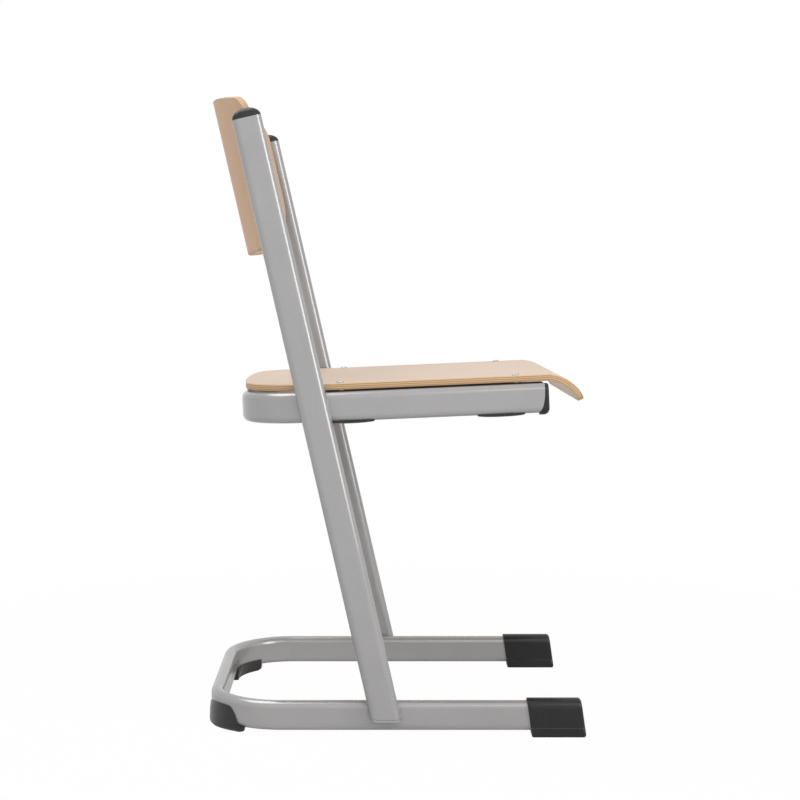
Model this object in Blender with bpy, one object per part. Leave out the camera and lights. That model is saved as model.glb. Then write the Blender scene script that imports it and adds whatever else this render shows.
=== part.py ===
"""Fixed cantilever chair: bent flat-oval tube frame, plywood seat and back, plastic feet and plugs.

Metres. +Z is up from the floor, +X points to the front of the chair, +Y to the sitter's left.
"""

import math

import bmesh
import bpy
from mathutils import Vector

# Fit of touching pieces
CLEAR = 0.0003

# Flat-oval tube of the frame
TUBE_HEIGHT = 0.0385
TUBE_WIDTH = 0.018
TUBE_WALL = 0.0018
RUNNER_BEND = 0.090
RAIL_BEND = 0.081
LEG_SPACING = 0.384

# Floor runner and its front feet
RUNNER_LIFT = 0.0071
RUNNER_REAR = -0.2450
FOOT_FRONT = 0.2507
FOOT_LENGTH = 0.0708
FOOT_LEAN = 0.14
FOOT_WALL = 0.0035
FOOT_TOP_WALL = 0.003
FOOT_END_WALL = 0.0045
FOOT_FRONT_ROUND = 0.004
FOOT_REAR_ROUND = 0.0012
FOOT_SOLE_ROUND = 0.002
FOOT_SOLE_HEIGHT = 0.0118
FOOT_SOLE_STEP = 0.001

# Rear glides
GLIDE_WALL = 0.002
GLIDE_FIT = 0.0005
GLIDE_START_X = -0.1948
GLIDE_TIP_TOP = 0.0085
GLIDE_LIP_TOP = 0.0105
GLIDE_PEAK_TOP = 0.0338
GLIDE_END_TOP = 0.0225
GLIDE_INNER_TOP = 0.0160
GLIDE_RISE_FROM = math.radians(35.3)
GLIDE_RISE_TO = math.radians(46.5)
GLIDE_CURVE = 2.4
GLIDE_SOLE_ROUND = 0.0015
GLIDE_NOSE_ROUND = 0.0085
GLIDE_NOSE_FROM = math.radians(62)
GLIDE_NOSE_TO = math.radians(40)
GLIDE_EDGE = 0.001
GLIDE_TAPER = 0.002
GLIDE_TIP = 0.012
GLIDE_TIP_CUT = 0.003
GLIDE_TIP_LIFT = 0.003

# Raked uprights
RAKE = math.radians(13.05)
UPRIGHT_FOOT_X = -0.0039
UPRIGHT_BOTTOM = 0.0268
UPRIGHT_TOP = 0.8029
END_PLATE = 0.0035
CAP_DOME = 0.0125
CAP_STEM = 0.022

# Seat frame
SEAT_TILT = math.radians(2.5)
RAIL_TOP = 0.4503
RAIL_REAR = -0.2034
RAIL_FRONT = 0.1967
RAIL_END_SWEEP = 0.0073
RAIL_SWELL = 0.0021
RAIL_SWELL_RUN = 0.030
PLUG_HEAD = 0.0051
PLUG_DROP = 0.0025
PLUG_STEM = 0.020
PLUG_ROUND = 0.0025
PLUG_CHAMFER = 0.005

# Pads under the seat frame
PAD_LENGTH = 0.062
PAD_DROP = 0.0028
PAD_EDGE = 0.0006
PAD_WRAP = math.radians(34)
PAD_FRONT_X = 0.1390
PAD_REAR_X = -0.0570

# Plywood
PLY = 0.0085
PLY_ROUND = 0.0012
SEAT_GAP = 0.0022
SEAT_SIDE_INSET = 0.0153
SEAT_REAR_INSET = 0.0006
SEAT_REAR_BOW = 1.2
SEAT_REAR_CORNER = 0.075
SEAT_REAR_CURL = 0.150
SEAT_REAR_RISE = 0.0028
SEAT_FRONT_CORNER = 0.020
SEAT_ROLL_RADIUS = 0.055
SEAT_ROLL_TURN = math.radians(68.8)
PLUG_UNDER_ROLL = 0.0026
BACK_HEIGHT = 0.2202
BACK_RISE = 0.0515
BACK_RADIUS = 0.413
BACK_END_GAP = 0.0023
BACK_ARCH = 0.910
BACK_UPPER_CORNER = 0.036
BACK_LOWER_CORNER = 0.080

# Seat strips, spacers and rivets
STRIP_SHEET = 0.0025
STRIP_FLANGE = 0.026
STRIP_MARGIN = 0.014
STRIP_REAR = -0.1117
SPACER_RADIUS = 0.0042
SEAT_RIVET_INSET = 0.016
SEAT_RIVET_FRONT_X = 0.1617
SEAT_RIVET_REAR_X = -0.0693
RIVET_RADIUS = 0.0025
RIVET_HEAD_RADIUS = 0.0048
RIVET_HEAD = 0.0022
RIVET_TAIL_RADIUS = 0.004
RIVET_TAIL = 0.0015
HOLE_REACH = 0.030

# Back brackets
BRACKET_SHEET = 0.0025
BRACKET_HEIGHT = 0.030
BRACKET_REACH = 0.030
BRACKET_FLANGE = 0.017
BRACKET_BELOW_TOP = 0.037
BRACKET_SPACING = 0.070
BACK_RIVET_INSET = 0.017

# Smoothness of the meshes
OVAL_STEPS = 6
BEND_STEPS = 10
ROUND_STEPS = 6
BOW_STEPS = 3
CIRCLE_STEPS = 16
CORNER_STEPS = 4
SHARP_ANGLE = math.radians(35)
ROUNDED_ANGLE = math.radians(50)
DOME_SPAN = math.radians(84)

# Places that follow from the sizes
LEG_Y = LEG_SPACING / 2
TUBE_ROUND = TUBE_WIDTH / 2
UPRIGHT_Y = LEG_Y + TUBE_WIDTH + CLEAR
UPRIGHT_INNER = UPRIGHT_Y - TUBE_ROUND
FOOT_TOP = RUNNER_LIFT + TUBE_HEIGHT + CLEAR + FOOT_TOP_WALL
RUNNER_FRONT = FOOT_FRONT - FOOT_LEAN * FOOT_TOP - FOOT_END_WALL
RUNNER_BEND_X = RUNNER_REAR + TUBE_ROUND + RUNNER_BEND
RUNNER_BEND_Y = LEG_Y - RUNNER_BEND
GLIDE_DEPTH = RUNNER_BEND_X - GLIDE_START_X
GLIDE_START = math.asin(GLIDE_DEPTH / (RUNNER_BEND + TUBE_ROUND))
PLUG_FRONT = RAIL_FRONT + PLUG_HEAD
SEAT_HALF = UPRIGHT_INNER - SEAT_SIDE_INSET
SEAT_REAR = RAIL_REAR + SEAT_REAR_INSET
SEAT_ROLL_START = PLUG_FRONT - PLUG_UNDER_ROLL
SEAT_FLAT = SEAT_ROLL_START - SEAT_REAR
SEAT_LENGTH = SEAT_FLAT + SEAT_ROLL_RADIUS * SEAT_ROLL_TURN
SEAT_CORNER_Y = SEAT_HALF - SEAT_REAR_CORNER
SEAT_CORNER_TURN = math.asin(SEAT_CORNER_Y / (SEAT_REAR_BOW - SEAT_REAR_CORNER))
SEAT_CORNER_END = SEAT_REAR_BOW - (SEAT_REAR_BOW - SEAT_REAR_CORNER) * math.cos(SEAT_CORNER_TURN)
SEAT_RIVET_Y = SEAT_HALF - SEAT_RIVET_INSET
SEAT_CURL_RADIUS = SEAT_REAR_CURL ** 2 / (2 * SEAT_REAR_RISE)
SPACER = SEAT_GAP - 2 * CLEAR
UPRIGHT_END = UPRIGHT_TOP / math.cos(RAKE)
BACK_TOP = UPRIGHT_END + BACK_RISE
BACK_BOTTOM = BACK_TOP - BACK_HEIGHT
BRACKET_UPPER = UPRIGHT_END - BRACKET_BELOW_TOP
BRACKET_LOWER = BRACKET_UPPER - BRACKET_SPACING
BACK_HALF = UPRIGHT_INNER - BACK_END_GAP
BACK_HALF_ARC = BACK_RADIUS * math.asin(BACK_HALF / BACK_RADIUS)
BACK_CENTRE_X = math.sqrt(BACK_RADIUS ** 2 - BACK_HALF ** 2)
BACK_RIVET_ANGLE = math.asin((BACK_HALF - BACK_RIVET_INSET) / BACK_RADIUS)

# Finishes: colour, roughness and metallic value
COATED_STEEL = ((0.42, 0.415, 0.42), 0.42, 0.35)
DARK_STEEL = ((0.045, 0.045, 0.047), 0.50, 0.0)
BARE_STEEL = ((0.55, 0.54, 0.53), 0.30, 1.0)
BEECH = ((0.76, 0.60, 0.46), 0.42, 0.0)
BLACK_PLASTIC = ((0.042, 0.043, 0.045), 0.50, 0.0)
GREY_PLASTIC = ((0.070, 0.070, 0.072), 0.55, 0.0)

SIDES = (("left", 1), ("right", -1))


def clear_scene():
    """Remove every object of the open scene."""
    for obj in list(bpy.data.objects):
        bpy.data.objects.remove(obj, do_unlink=True)


def make_material(name, finish):
    """A Principled material with a finish's colour, roughness and metallic value."""
    colour, roughness, metallic = finish
    material = bpy.data.materials.new(name)
    material.use_nodes = True
    shader = material.node_tree.nodes["Principled BSDF"]
    shader.inputs["Base Color"].default_value = (*colour, 1.0)
    shader.inputs["Roughness"].default_value = roughness
    shader.inputs["Metallic"].default_value = metallic
    return material


def add_object(name, bm, parent=None, finish=None):
    """Turn a bmesh into a named object. Without a finish it is a cutter that no render shows."""
    bmesh.ops.recalc_face_normals(bm, faces=bm.faces)
    mesh = bpy.data.meshes.new(name)
    bm.to_mesh(mesh)
    bm.free()
    mesh.shade_smooth()
    mesh.set_sharp_from_angle(angle=SHARP_ANGLE)
    obj = bpy.data.objects.new(name, mesh)
    bpy.context.scene.collection.objects.link(obj)
    obj.parent = parent
    if finish:
        mesh.materials.append(make_material(name, finish))
    else:
        obj.hide_render = True
        obj.display_type = "WIRE"
    return obj


def add_empty(name, location, turn_y):
    """An empty that carries the pieces of one tilted plane."""
    empty = bpy.data.objects.new(name, None)
    empty.location = location
    empty.rotation_euler = (0.0, turn_y, 0.0)
    bpy.context.scene.collection.objects.link(empty)
    return empty


def cut(obj, cutter):
    """Subtract a cutter with an exact Boolean."""
    modifier = obj.modifiers.new("cut_" + cutter.name, "BOOLEAN")
    modifier.operation = "DIFFERENCE"
    modifier.solver = "EXACT"
    modifier.object = cutter


def round_edges(obj, width):
    """Round the sharp edges of a panel or plate."""
    modifier = obj.modifiers.new("round", "BEVEL")
    modifier.width = width
    modifier.segments = 2
    modifier.limit_method = "ANGLE"
    modifier.angle_limit = ROUNDED_ANGLE


def oval(height, width):
    """Flat-oval outline as (across, up) pairs round its centre."""
    radius = width / 2
    straight = height / 2 - radius
    points = []
    for side in (1, -1):
        for step in range(OVAL_STEPS + 1):
            angle = math.pi * step / OVAL_STEPS
            up = straight + radius * math.sin(angle)
            points.append((side * radius * math.cos(angle), side * up))
    return points


def loft(rings):
    """A closed bmesh through rings of equal point counts, with both ends filled."""
    bm = bmesh.new()
    loops = [[bm.verts.new(point) for point in ring] for ring in rings]
    for first, second in zip(loops, loops[1:]):
        for index in range(len(first)):
            after = (index + 1) % len(first)
            bm.faces.new((first[index], first[after], second[after], second[index]))
    bm.faces.new(loops[0])
    bm.faces.new(loops[-1])
    return bm


def lathe(profile):
    """Rings that turn a profile of (radius, height) pairs about Z."""
    rings = []
    for radius, height in profile:
        ring = []
        for step in range(CIRCLE_STEPS):
            angle = 2 * math.pi * step / CIRCLE_STEPS
            ring.append((radius * math.cos(angle), radius * math.sin(angle), height))
        rings.append(ring)
    return rings


def ring_edges(bm, verts):
    """The edges that join verts of one ring."""
    chosen = set(verts)
    return [edge for edge in bm.edges if edge.verts[0] in chosen and edge.verts[1] in chosen]


def extrude_ring(bm, verts, shift):
    """Extrude a ring of verts along a vector and return the new ring."""
    made = bmesh.ops.extrude_edge_only(bm, edges=ring_edges(bm, verts))
    new = [item for item in made["geom"] if isinstance(item, bmesh.types.BMVert)]
    bmesh.ops.translate(bm, verts=new, vec=shift)
    return new


def spin_ring(bm, verts, centre):
    """Bend a ring of verts through a quarter turn about a vertical axis and return the new ring."""
    made = bmesh.ops.spin(
        bm,
        geom=list(verts) + ring_edges(bm, verts),
        cent=centre,
        axis=(0.0, 0.0, 1.0),
        angle=math.pi / 2,
        steps=BEND_STEPS,
        use_duplicate=False,
    )
    return [item for item in made["geom_last"] if isinstance(item, bmesh.types.BMVert)]


def start_ring(bm, points):
    """A closed ring of verts and edges."""
    ring = [bm.verts.new(point) for point in points]
    for first, second in zip(ring, ring[1:] + ring[:1]):
        bm.edges.new((first, second))
    return ring


def tube_outlines():
    """Outer and inner outline of the frame's tube."""
    bore = 2 * TUBE_WALL
    return oval(TUBE_HEIGHT, TUBE_WIDTH), oval(TUBE_HEIGHT - bore, TUBE_WIDTH - bore)


def close_tube(bm, outer_ends, inner_ends):
    """Join the outer and inner skin of a tube at both ends."""
    for outer, inner in zip(outer_ends, inner_ends):
        for edge in ring_edges(bm, outer):
            first, second = edge.verts
            inside = [min(inner, key=lambda vert: (vert.co - end.co).length) for end in (first, second)]
            bm.faces.new((first, second, inside[1], inside[0]))


def end_setback(sweep, below):
    """How far a tube's swept front end lies back at a depth below the tube's top."""
    return sweep * (below / TUBE_HEIGHT) ** 3


def raise_top(ring, middle_z, rise):
    """Move the upper half of a tube's ring up."""
    for vert in ring:
        if vert.co.z > middle_z:
            vert.co.z += rise


def bent_tube(name, front, rear, radius, middle_z, sweep, swell, parent):
    """A U of flat-oval tube, open to the front, with curved front ends and higher bends."""
    bend_x = rear + TUBE_ROUND + radius
    bend_y = LEG_Y - radius
    bm = bmesh.new()
    skins = []
    for outline in tube_outlines():
        points = []
        for across, up in outline:
            setback = end_setback(sweep, TUBE_HEIGHT / 2 - up)
            points.append((front - setback, LEG_Y + across, middle_z + up))
        first = start_ring(bm, points)
        ring = extrude_ring(bm, first, (0.0, 0.0, 0.0))
        for vert in ring:
            vert.co.x = bend_x + RAIL_SWELL_RUN
        ring = extrude_ring(bm, ring, (-RAIL_SWELL_RUN, 0.0, 0.0))
        raise_top(ring, middle_z, swell)
        ring = spin_ring(bm, ring, (bend_x, bend_y, 0.0))
        ring = extrude_ring(bm, ring, (0.0, -2 * bend_y, 0.0))
        ring = spin_ring(bm, ring, (bend_x, -bend_y, 0.0))
        ring = extrude_ring(bm, ring, (RAIL_SWELL_RUN, 0.0, 0.0))
        raise_top(ring, middle_z, -swell)
        last = extrude_ring(bm, ring, (0.0, 0.0, 0.0))
        for vert in last:
            vert.co.x = front - end_setback(sweep, middle_z + TUBE_HEIGHT / 2 - vert.co.z)
        skins.append((first, last))
    close_tube(bm, *skins)
    add_object(name, bm, parent, COATED_STEEL)


def level_at(height, forward):
    """Distance along the raked axis where a point that lies forward of it is at a height."""
    return (height - forward * math.sin(RAKE)) / math.cos(RAKE)


def upright(name, side, rake_plane):
    """A raked tube with a level lower end and a square upper end."""
    bm = bmesh.new()
    skins = []
    for outline in tube_outlines():
        points = []
        for across, along in outline:
            points.append((along, side * UPRIGHT_Y + across, level_at(UPRIGHT_BOTTOM, along)))
        first = start_ring(bm, points)
        last = extrude_ring(bm, first, (0.0, 0.0, 0.0))
        for vert in last:
            vert.co.z = UPRIGHT_END
        skins.append((first, last))
    close_tube(bm, *skins)
    add_object(name, bm, rake_plane, COATED_STEEL)


def upright_end_plate(name, side, rake_plane):
    """A plate under an upright's level lower end."""
    rings = []
    for height in (UPRIGHT_BOTTOM - CLEAR - END_PLATE, UPRIGHT_BOTTOM - CLEAR):
        ring = []
        for across, along in oval(TUBE_HEIGHT, TUBE_WIDTH):
            ring.append((along, side * UPRIGHT_Y + across, level_at(height, along)))
        rings.append(ring)
    add_object(name, loft(rings), rake_plane, COATED_STEEL)


def upright_cap(name, side, rake_plane):
    """A domed plug in an upright's upper end."""
    top = UPRIGHT_END
    inset = 2 * (TUBE_WALL + CLEAR)
    stem = oval(TUBE_HEIGHT - inset, TUBE_WIDTH - inset)
    full = oval(TUBE_HEIGHT, TUBE_WIDTH)
    sections = [(stem, top - CAP_STEM), (stem, top + CLEAR), (full, top + CLEAR)]
    for step in range(1, ROUND_STEPS + 1):
        angle = DOME_SPAN * step / ROUND_STEPS
        scale = math.cos(angle)
        dome = [(across * scale, along * scale) for across, along in full]
        sections.append((dome, top + CLEAR + CAP_DOME * math.sin(angle)))
    rings = []
    for section, height in sections:
        rings.append([(along, side * UPRIGHT_Y + across, height) for across, along in section])
    add_object(name, loft(rings), rake_plane, GREY_PLASTIC)


def foot_section(inset):
    """Outline of a front foot as (across, up) pairs, drawn in by an inset."""
    half = TUBE_ROUND + CLEAR + FOOT_WALL
    upper = half - FOOT_SOLE_STEP - inset
    lower = half - inset
    corner = max(FOOT_SOLE_ROUND - inset, FOOT_SOLE_STEP)
    right = []
    for step in range(CORNER_STEPS + 1):
        angle = math.pi / 2 * step / CORNER_STEPS
        right.append((lower - corner + corner * math.sin(angle), inset + corner * (1 - math.cos(angle))))
    right.append((lower, FOOT_SOLE_HEIGHT))
    right.append((upper, FOOT_SOLE_HEIGHT + FOOT_SOLE_STEP))
    for step in range(OVAL_STEPS):
        angle = math.pi / 2 * step / OVAL_STEPS
        right.append((upper * math.cos(angle), FOOT_TOP - inset - upper * (1 - math.sin(angle))))
    top = [(0.0, FOOT_TOP - inset)]
    return right + top + [(-across, up) for across, up in reversed(right)]


def front_foot(name, side):
    """A leaning sleeve closed at the front, on a front end of the runner."""
    rear = FOOT_FRONT - FOOT_LENGTH
    stations = [(rear, FOOT_REAR_ROUND), (rear + FOOT_REAR_ROUND, 0.0)]
    for step in range(ROUND_STEPS - 1):
        angle = math.pi / 2 * step / (ROUND_STEPS - 2)
        front = FOOT_FRONT - FOOT_FRONT_ROUND * (1 - math.sin(angle))
        stations.append((front, FOOT_FRONT_ROUND * (1 - math.cos(angle))))
    rings = []
    for along, inset in stations:
        ring = [(along - FOOT_LEAN * up, across, up) for across, up in foot_section(inset)]
        rings.append(ring)
    foot = add_object(name, loft(rings), None, BLACK_PLASTIC)
    foot.location.y = side * LEG_Y
    pocket = oval(TUBE_HEIGHT + 2 * CLEAR, TUBE_WIDTH + 2 * CLEAR)
    middle = RUNNER_LIFT + TUBE_HEIGHT / 2
    rings = []
    for along in (rear - FOOT_LENGTH, RUNNER_FRONT + CLEAR):
        rings.append([(along, across, middle + up) for across, up in pocket])
    cutter = add_object("pocket_" + name, loft(rings))
    cutter.location.y = side * LEG_Y
    cut(foot, cutter)


def glide_wall_top(angle):
    """Height of a glide's outer wall at an angle round the bend."""
    if angle <= GLIDE_RISE_FROM:
        share = (angle - GLIDE_START) / (GLIDE_RISE_FROM - GLIDE_START)
        return GLIDE_TIP_TOP + (GLIDE_LIP_TOP - GLIDE_TIP_TOP) * share
    if angle < GLIDE_RISE_TO:
        share = (GLIDE_RISE_TO - angle) / (GLIDE_RISE_TO - GLIDE_RISE_FROM)
        return GLIDE_PEAK_TOP + (GLIDE_LIP_TOP - GLIDE_PEAK_TOP) * share ** GLIDE_CURVE
    share = (angle - GLIDE_RISE_TO) / (math.pi / 2 - GLIDE_RISE_TO)
    return GLIDE_PEAK_TOP + (GLIDE_END_TOP - GLIDE_PEAK_TOP) * share ** GLIDE_CURVE


def saddle_reach(height):
    """Half-width of the runner with its clearance at a height in its lower part."""
    radius = TUBE_ROUND + GLIDE_FIT
    below = RUNNER_LIFT + TUBE_ROUND - height
    if below <= 0:
        return radius
    return math.sqrt(max(radius * radius - below * below, 0.0))


def glide_sole_round(angle):
    """Rounding of a glide's outer lower edge at an angle round the bend."""
    share = (GLIDE_NOSE_FROM - angle) / (GLIDE_NOSE_FROM - GLIDE_NOSE_TO)
    share = min(max(share, 0.0), 1.0)
    return GLIDE_SOLE_ROUND + (GLIDE_NOSE_ROUND - GLIDE_SOLE_ROUND) * share


def glide_section(angle):
    """Outline of a rear glide at an angle round the bend as (outward, up) pairs."""
    wall_top = glide_wall_top(angle)
    outer = TUBE_ROUND + GLIDE_FIT + GLIDE_WALL
    from_tip = (RUNNER_BEND + TUBE_ROUND) * (angle - GLIDE_START)
    short = max(1 - from_tip / GLIDE_TIP, 0.0)
    side = outer - (GLIDE_WALL + GLIDE_TIP_CUT) * (1 - math.sqrt(1 - short * short))
    lift = GLIDE_TIP_LIFT * short * short
    corner = min(glide_sole_round(angle), wall_top - lift - GLIDE_EDGE)
    points = []
    for step in range(CORNER_STEPS + 1):
        turn = math.pi / 2 * step / CORNER_STEPS
        points.append((side - corner + corner * math.cos(turn), lift + corner * (1 - math.sin(turn))))
    corner = GLIDE_SOLE_ROUND
    for step in range(CORNER_STEPS + 1):
        turn = math.pi / 2 * step / CORNER_STEPS
        points.append((-outer + corner - corner * math.sin(turn), lift + corner * (1 - math.cos(turn))))
    floor = RUNNER_LIFT - GLIDE_FIT
    points.append((-outer, GLIDE_INNER_TOP))
    for step in range(OVAL_STEPS):
        height = floor + (GLIDE_INNER_TOP - floor) * (1 - math.sin(math.pi / 2 * step / OVAL_STEPS))
        points.append((-saddle_reach(height), height))
    points.append((0.0, floor))
    for step in range(1, OVAL_STEPS + 1):
        height = floor + (wall_top - floor) * (1 - math.cos(math.pi / 2 * step / OVAL_STEPS))
        points.append((saddle_reach(height), height))
    edge = side - GLIDE_TAPER * (wall_top - GLIDE_TIP_TOP) / (GLIDE_PEAK_TOP - GLIDE_TIP_TOP)
    points.append((max(edge - GLIDE_EDGE, saddle_reach(wall_top) + CLEAR), wall_top))
    points.append((edge, wall_top - GLIDE_EDGE / 2))
    return points


def rear_glide(name, side):
    """A saddle under a rear bend of the runner, with a taller outer wall."""
    rings = []
    steps = 4 * BEND_STEPS
    for step in range(steps + 1):
        share = step / steps
        ring = []
        for outward, up in glide_section(GLIDE_START + (math.pi / 2 - GLIDE_START) * share):
            reach = RUNNER_BEND + outward
            start = math.asin(GLIDE_DEPTH / reach)
            angle = start + (math.pi / 2 - start) * share
            x = RUNNER_BEND_X - reach * math.sin(angle)
            y = RUNNER_BEND_Y + reach * math.cos(angle)
            ring.append((x, side * y, up))
        rings.append(ring)
    add_object(name, loft(rings), None, GREY_PLASTIC)


def seat_frame_plug(name, side, seat_plane):
    """A plug with a swept head in a front end of the seat frame."""
    inset = 2 * (TUBE_WALL + CLEAR)
    middle = -TUBE_HEIGHT / 2
    stem = [(across, middle + up) for across, up in oval(TUBE_HEIGHT - inset, TUBE_WIDTH - inset)]
    head_outline = oval(TUBE_HEIGHT + PLUG_DROP, TUBE_WIDTH)
    head = [(across, middle - PLUG_DROP / 2 + up) for across, up in head_outline]
    face_outline = oval(TUBE_HEIGHT + PLUG_DROP - PLUG_ROUND - PLUG_CHAMFER, TUBE_WIDTH - 2 * PLUG_ROUND)
    face_middle = middle - PLUG_DROP / 2 - (PLUG_ROUND - PLUG_CHAMFER) / 2
    face = [(across, face_middle + up) for across, up in face_outline]
    rings = []
    fit = TUBE_HEIGHT / (TUBE_HEIGHT + PLUG_DROP)
    for section, scale, shift in ((stem, 1.0, -PLUG_STEM), (stem, 1.0, CLEAR), (head, fit, CLEAR)):
        ring = []
        for across, up in section:
            setback = end_setback(RAIL_END_SWEEP, -up * scale)
            ring.append((RAIL_FRONT + shift - setback, side * LEG_Y + across, up))
        rings.append(ring)
    share = (PLUG_CHAMFER - PLUG_ROUND) / (TUBE_HEIGHT + PLUG_DROP)
    ring = []
    for across, up in head:
        ring.append((PLUG_FRONT - PLUG_ROUND + share * up, side * LEG_Y + across, up))
    rings.append(ring)
    rings.append([(PLUG_FRONT, side * LEG_Y + across, up) for across, up in face])
    add_object(name, loft(rings), seat_plane, BLACK_PLASTIC)


def table_pad(name, side, middle_x, seat_plane):
    """A shallow domed pad that hugs the underside of the seat frame."""
    inner = TUBE_ROUND + CLEAR
    centre_z = -TUBE_HEIGHT + TUBE_ROUND
    steps = 2 * OVAL_STEPS
    rings = []
    for step in range(steps + 1):
        along = 2 * step / steps - 1
        drop = PAD_EDGE + (PAD_DROP - PAD_EDGE) * math.sqrt(1 - along * along)
        ring = []
        for arc in range(OVAL_STEPS + 1):
            angle = PAD_WRAP * (2 * arc / OVAL_STEPS - 1)
            ring.append((inner * math.sin(angle), centre_z - inner * math.cos(angle)))
        for arc in range(OVAL_STEPS, -1, -1):
            angle = PAD_WRAP * (2 * arc / OVAL_STEPS - 1)
            swell = PAD_EDGE + (drop - PAD_EDGE) * math.cos(angle)
            reach = inner + swell
            ring.append((reach * math.sin(angle), centre_z - reach * math.cos(angle)))
        x = middle_x + PAD_LENGTH / 2 * along
        rings.append([(x, side * LEG_Y + across, up) for across, up in ring])
    add_object(name, loft(rings), seat_plane, GREY_PLASTIC)


def hole_cutter(name, parent, place, direction):
    """A cutter for a rivet's hole, centred on a place and along a direction."""
    radius = RIVET_RADIUS + CLEAR
    cutter = add_object(name, loft(lathe([(radius, -HOLE_REACH), (radius, HOLE_REACH)])), parent)
    cutter.location = place
    cutter.rotation_euler = Vector(direction).to_track_quat("Z", "Y").to_euler()
    return cutter


def rivet(name, grip, parent, place, direction):
    """A rivet with a domed head at a place, its shank and tail behind it."""
    profile = [
        (RIVET_TAIL_RADIUS, -grip - RIVET_TAIL),
        (RIVET_TAIL_RADIUS, -grip),
        (RIVET_RADIUS, -grip),
        (RIVET_RADIUS, 0.0),
    ]
    for step in range(ROUND_STEPS):
        angle = DOME_SPAN * step / (ROUND_STEPS - 1)
        profile.append((RIVET_HEAD_RADIUS * math.cos(angle), RIVET_HEAD * math.sin(angle)))
    obj = add_object(name, loft(lathe(profile)), parent, BARE_STEEL)
    obj.location = place
    obj.rotation_euler = Vector(direction).to_track_quat("Z", "Y").to_euler()


def seat_station(along):
    """Point on the seat's upper face and its normal, at a length from the rear edge."""
    top = SEAT_GAP + PLY
    if along < SEAT_REAR_CURL:
        angle = (SEAT_REAR_CURL - along) / SEAT_CURL_RADIUS
        normal = (math.sin(angle), math.cos(angle))
        x = SEAT_REAR + SEAT_REAR_CURL - SEAT_CURL_RADIUS * normal[0]
        return (x, top + SEAT_CURL_RADIUS * (1 - normal[1])), normal
    if along <= SEAT_FLAT:
        return (SEAT_REAR + along, top), (0.0, 1.0)
    angle = (along - SEAT_FLAT) / SEAT_ROLL_RADIUS
    normal = (math.sin(angle), math.cos(angle))
    x = SEAT_ROLL_START + SEAT_ROLL_RADIUS * normal[0]
    return (x, top - SEAT_ROLL_RADIUS * (1 - normal[1])), normal


def seat_rear_outline():
    """The seat's bowed rear edge and one rear corner as (along, half-width) pairs."""
    points = []
    for step in range(1, BOW_STEPS + 1):
        angle = SEAT_CORNER_TURN * step / BOW_STEPS
        points.append((SEAT_REAR_BOW * (1 - math.cos(angle)), SEAT_REAR_BOW * math.sin(angle)))
    for step in range(1, 2 * ROUND_STEPS + 1):
        angle = SEAT_CORNER_TURN + (math.pi / 2 - SEAT_CORNER_TURN) * step / (2 * ROUND_STEPS)
        along = SEAT_CORNER_END - SEAT_REAR_CORNER * math.cos(angle)
        points.append((along, SEAT_CORNER_Y + SEAT_REAR_CORNER * math.sin(angle)))
    return points


def seat_front_outline():
    """One front corner of the seat as (along, half-width) pairs."""
    points = []
    for step in range(2 * ROUND_STEPS + 1):
        angle = math.pi / 2 * step / (2 * ROUND_STEPS)
        along = SEAT_LENGTH - SEAT_FRONT_CORNER * (1 - math.sin(angle))
        points.append((along, SEAT_HALF - SEAT_FRONT_CORNER * (1 - math.cos(angle))))
    return points


def seat_outline():
    """The seat's outline from rear to front as (along, half-width) pairs."""
    curl = [SEAT_REAR_CURL * (step + 1) / ROUND_STEPS for step in range(ROUND_STEPS)]
    roll = [SEAT_FLAT + SEAT_ROLL_RADIUS * SEAT_ROLL_TURN * step / BEND_STEPS for step in range(BEND_STEPS)]
    side_end = SEAT_LENGTH - SEAT_FRONT_CORNER
    sides = [(along, SEAT_HALF) for along in curl + roll if SEAT_CORNER_END < along < side_end]
    return seat_rear_outline() + sides + seat_front_outline()


def seat_panel(seat_plane, cutters):
    """Moulded plywood seat with a slightly raised, bowed rear and a rolled front edge."""
    rings = []
    for along, half in seat_outline():
        (x, z), (normal_x, normal_z) = seat_station(along)
        low = (x - PLY * normal_x, z - PLY * normal_z)
        rings.append([(x, half, z), (x, -half, z), (low[0], -half, low[1]), (low[0], half, low[1])])
    obj = add_object("seat_panel", loft(rings), seat_plane, BEECH)
    round_edges(obj, PLY_ROUND)
    for cutter in cutters:
        cut(obj, cutter)


def back_edges(across):
    """Heights of the back's lower and upper edge at an arc length from its middle."""
    across = abs(across)
    low = BACK_BOTTOM
    beyond = across - (BACK_HALF_ARC - BACK_LOWER_CORNER)
    if beyond > 0:
        low += BACK_LOWER_CORNER - math.sqrt(max(BACK_LOWER_CORNER ** 2 - beyond ** 2, 0.0))
    arch_centre = BACK_TOP - BACK_ARCH
    corner_reach = BACK_ARCH - BACK_UPPER_CORNER
    corner_across = BACK_HALF_ARC - BACK_UPPER_CORNER
    if across <= corner_across * BACK_ARCH / corner_reach:
        return low, arch_centre + math.sqrt(BACK_ARCH ** 2 - across ** 2)
    corner_centre = arch_centre + math.sqrt(corner_reach ** 2 - corner_across ** 2)
    beyond = across - corner_across
    return low, corner_centre + math.sqrt(max(BACK_UPPER_CORNER ** 2 - beyond ** 2, 0.0))


def back_stations():
    """Arc lengths from the back's middle, closer together in its rounded corners."""
    corner = BACK_HALF_ARC - BACK_LOWER_CORNER
    half = [corner * step / BEND_STEPS for step in range(BEND_STEPS)]
    for step in range(2 * ROUND_STEPS + 1):
        half.append(corner + BACK_LOWER_CORNER * math.sin(math.pi / 2 * step / (2 * ROUND_STEPS)))
    return [-across for across in half[:0:-1]] + half


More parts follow.
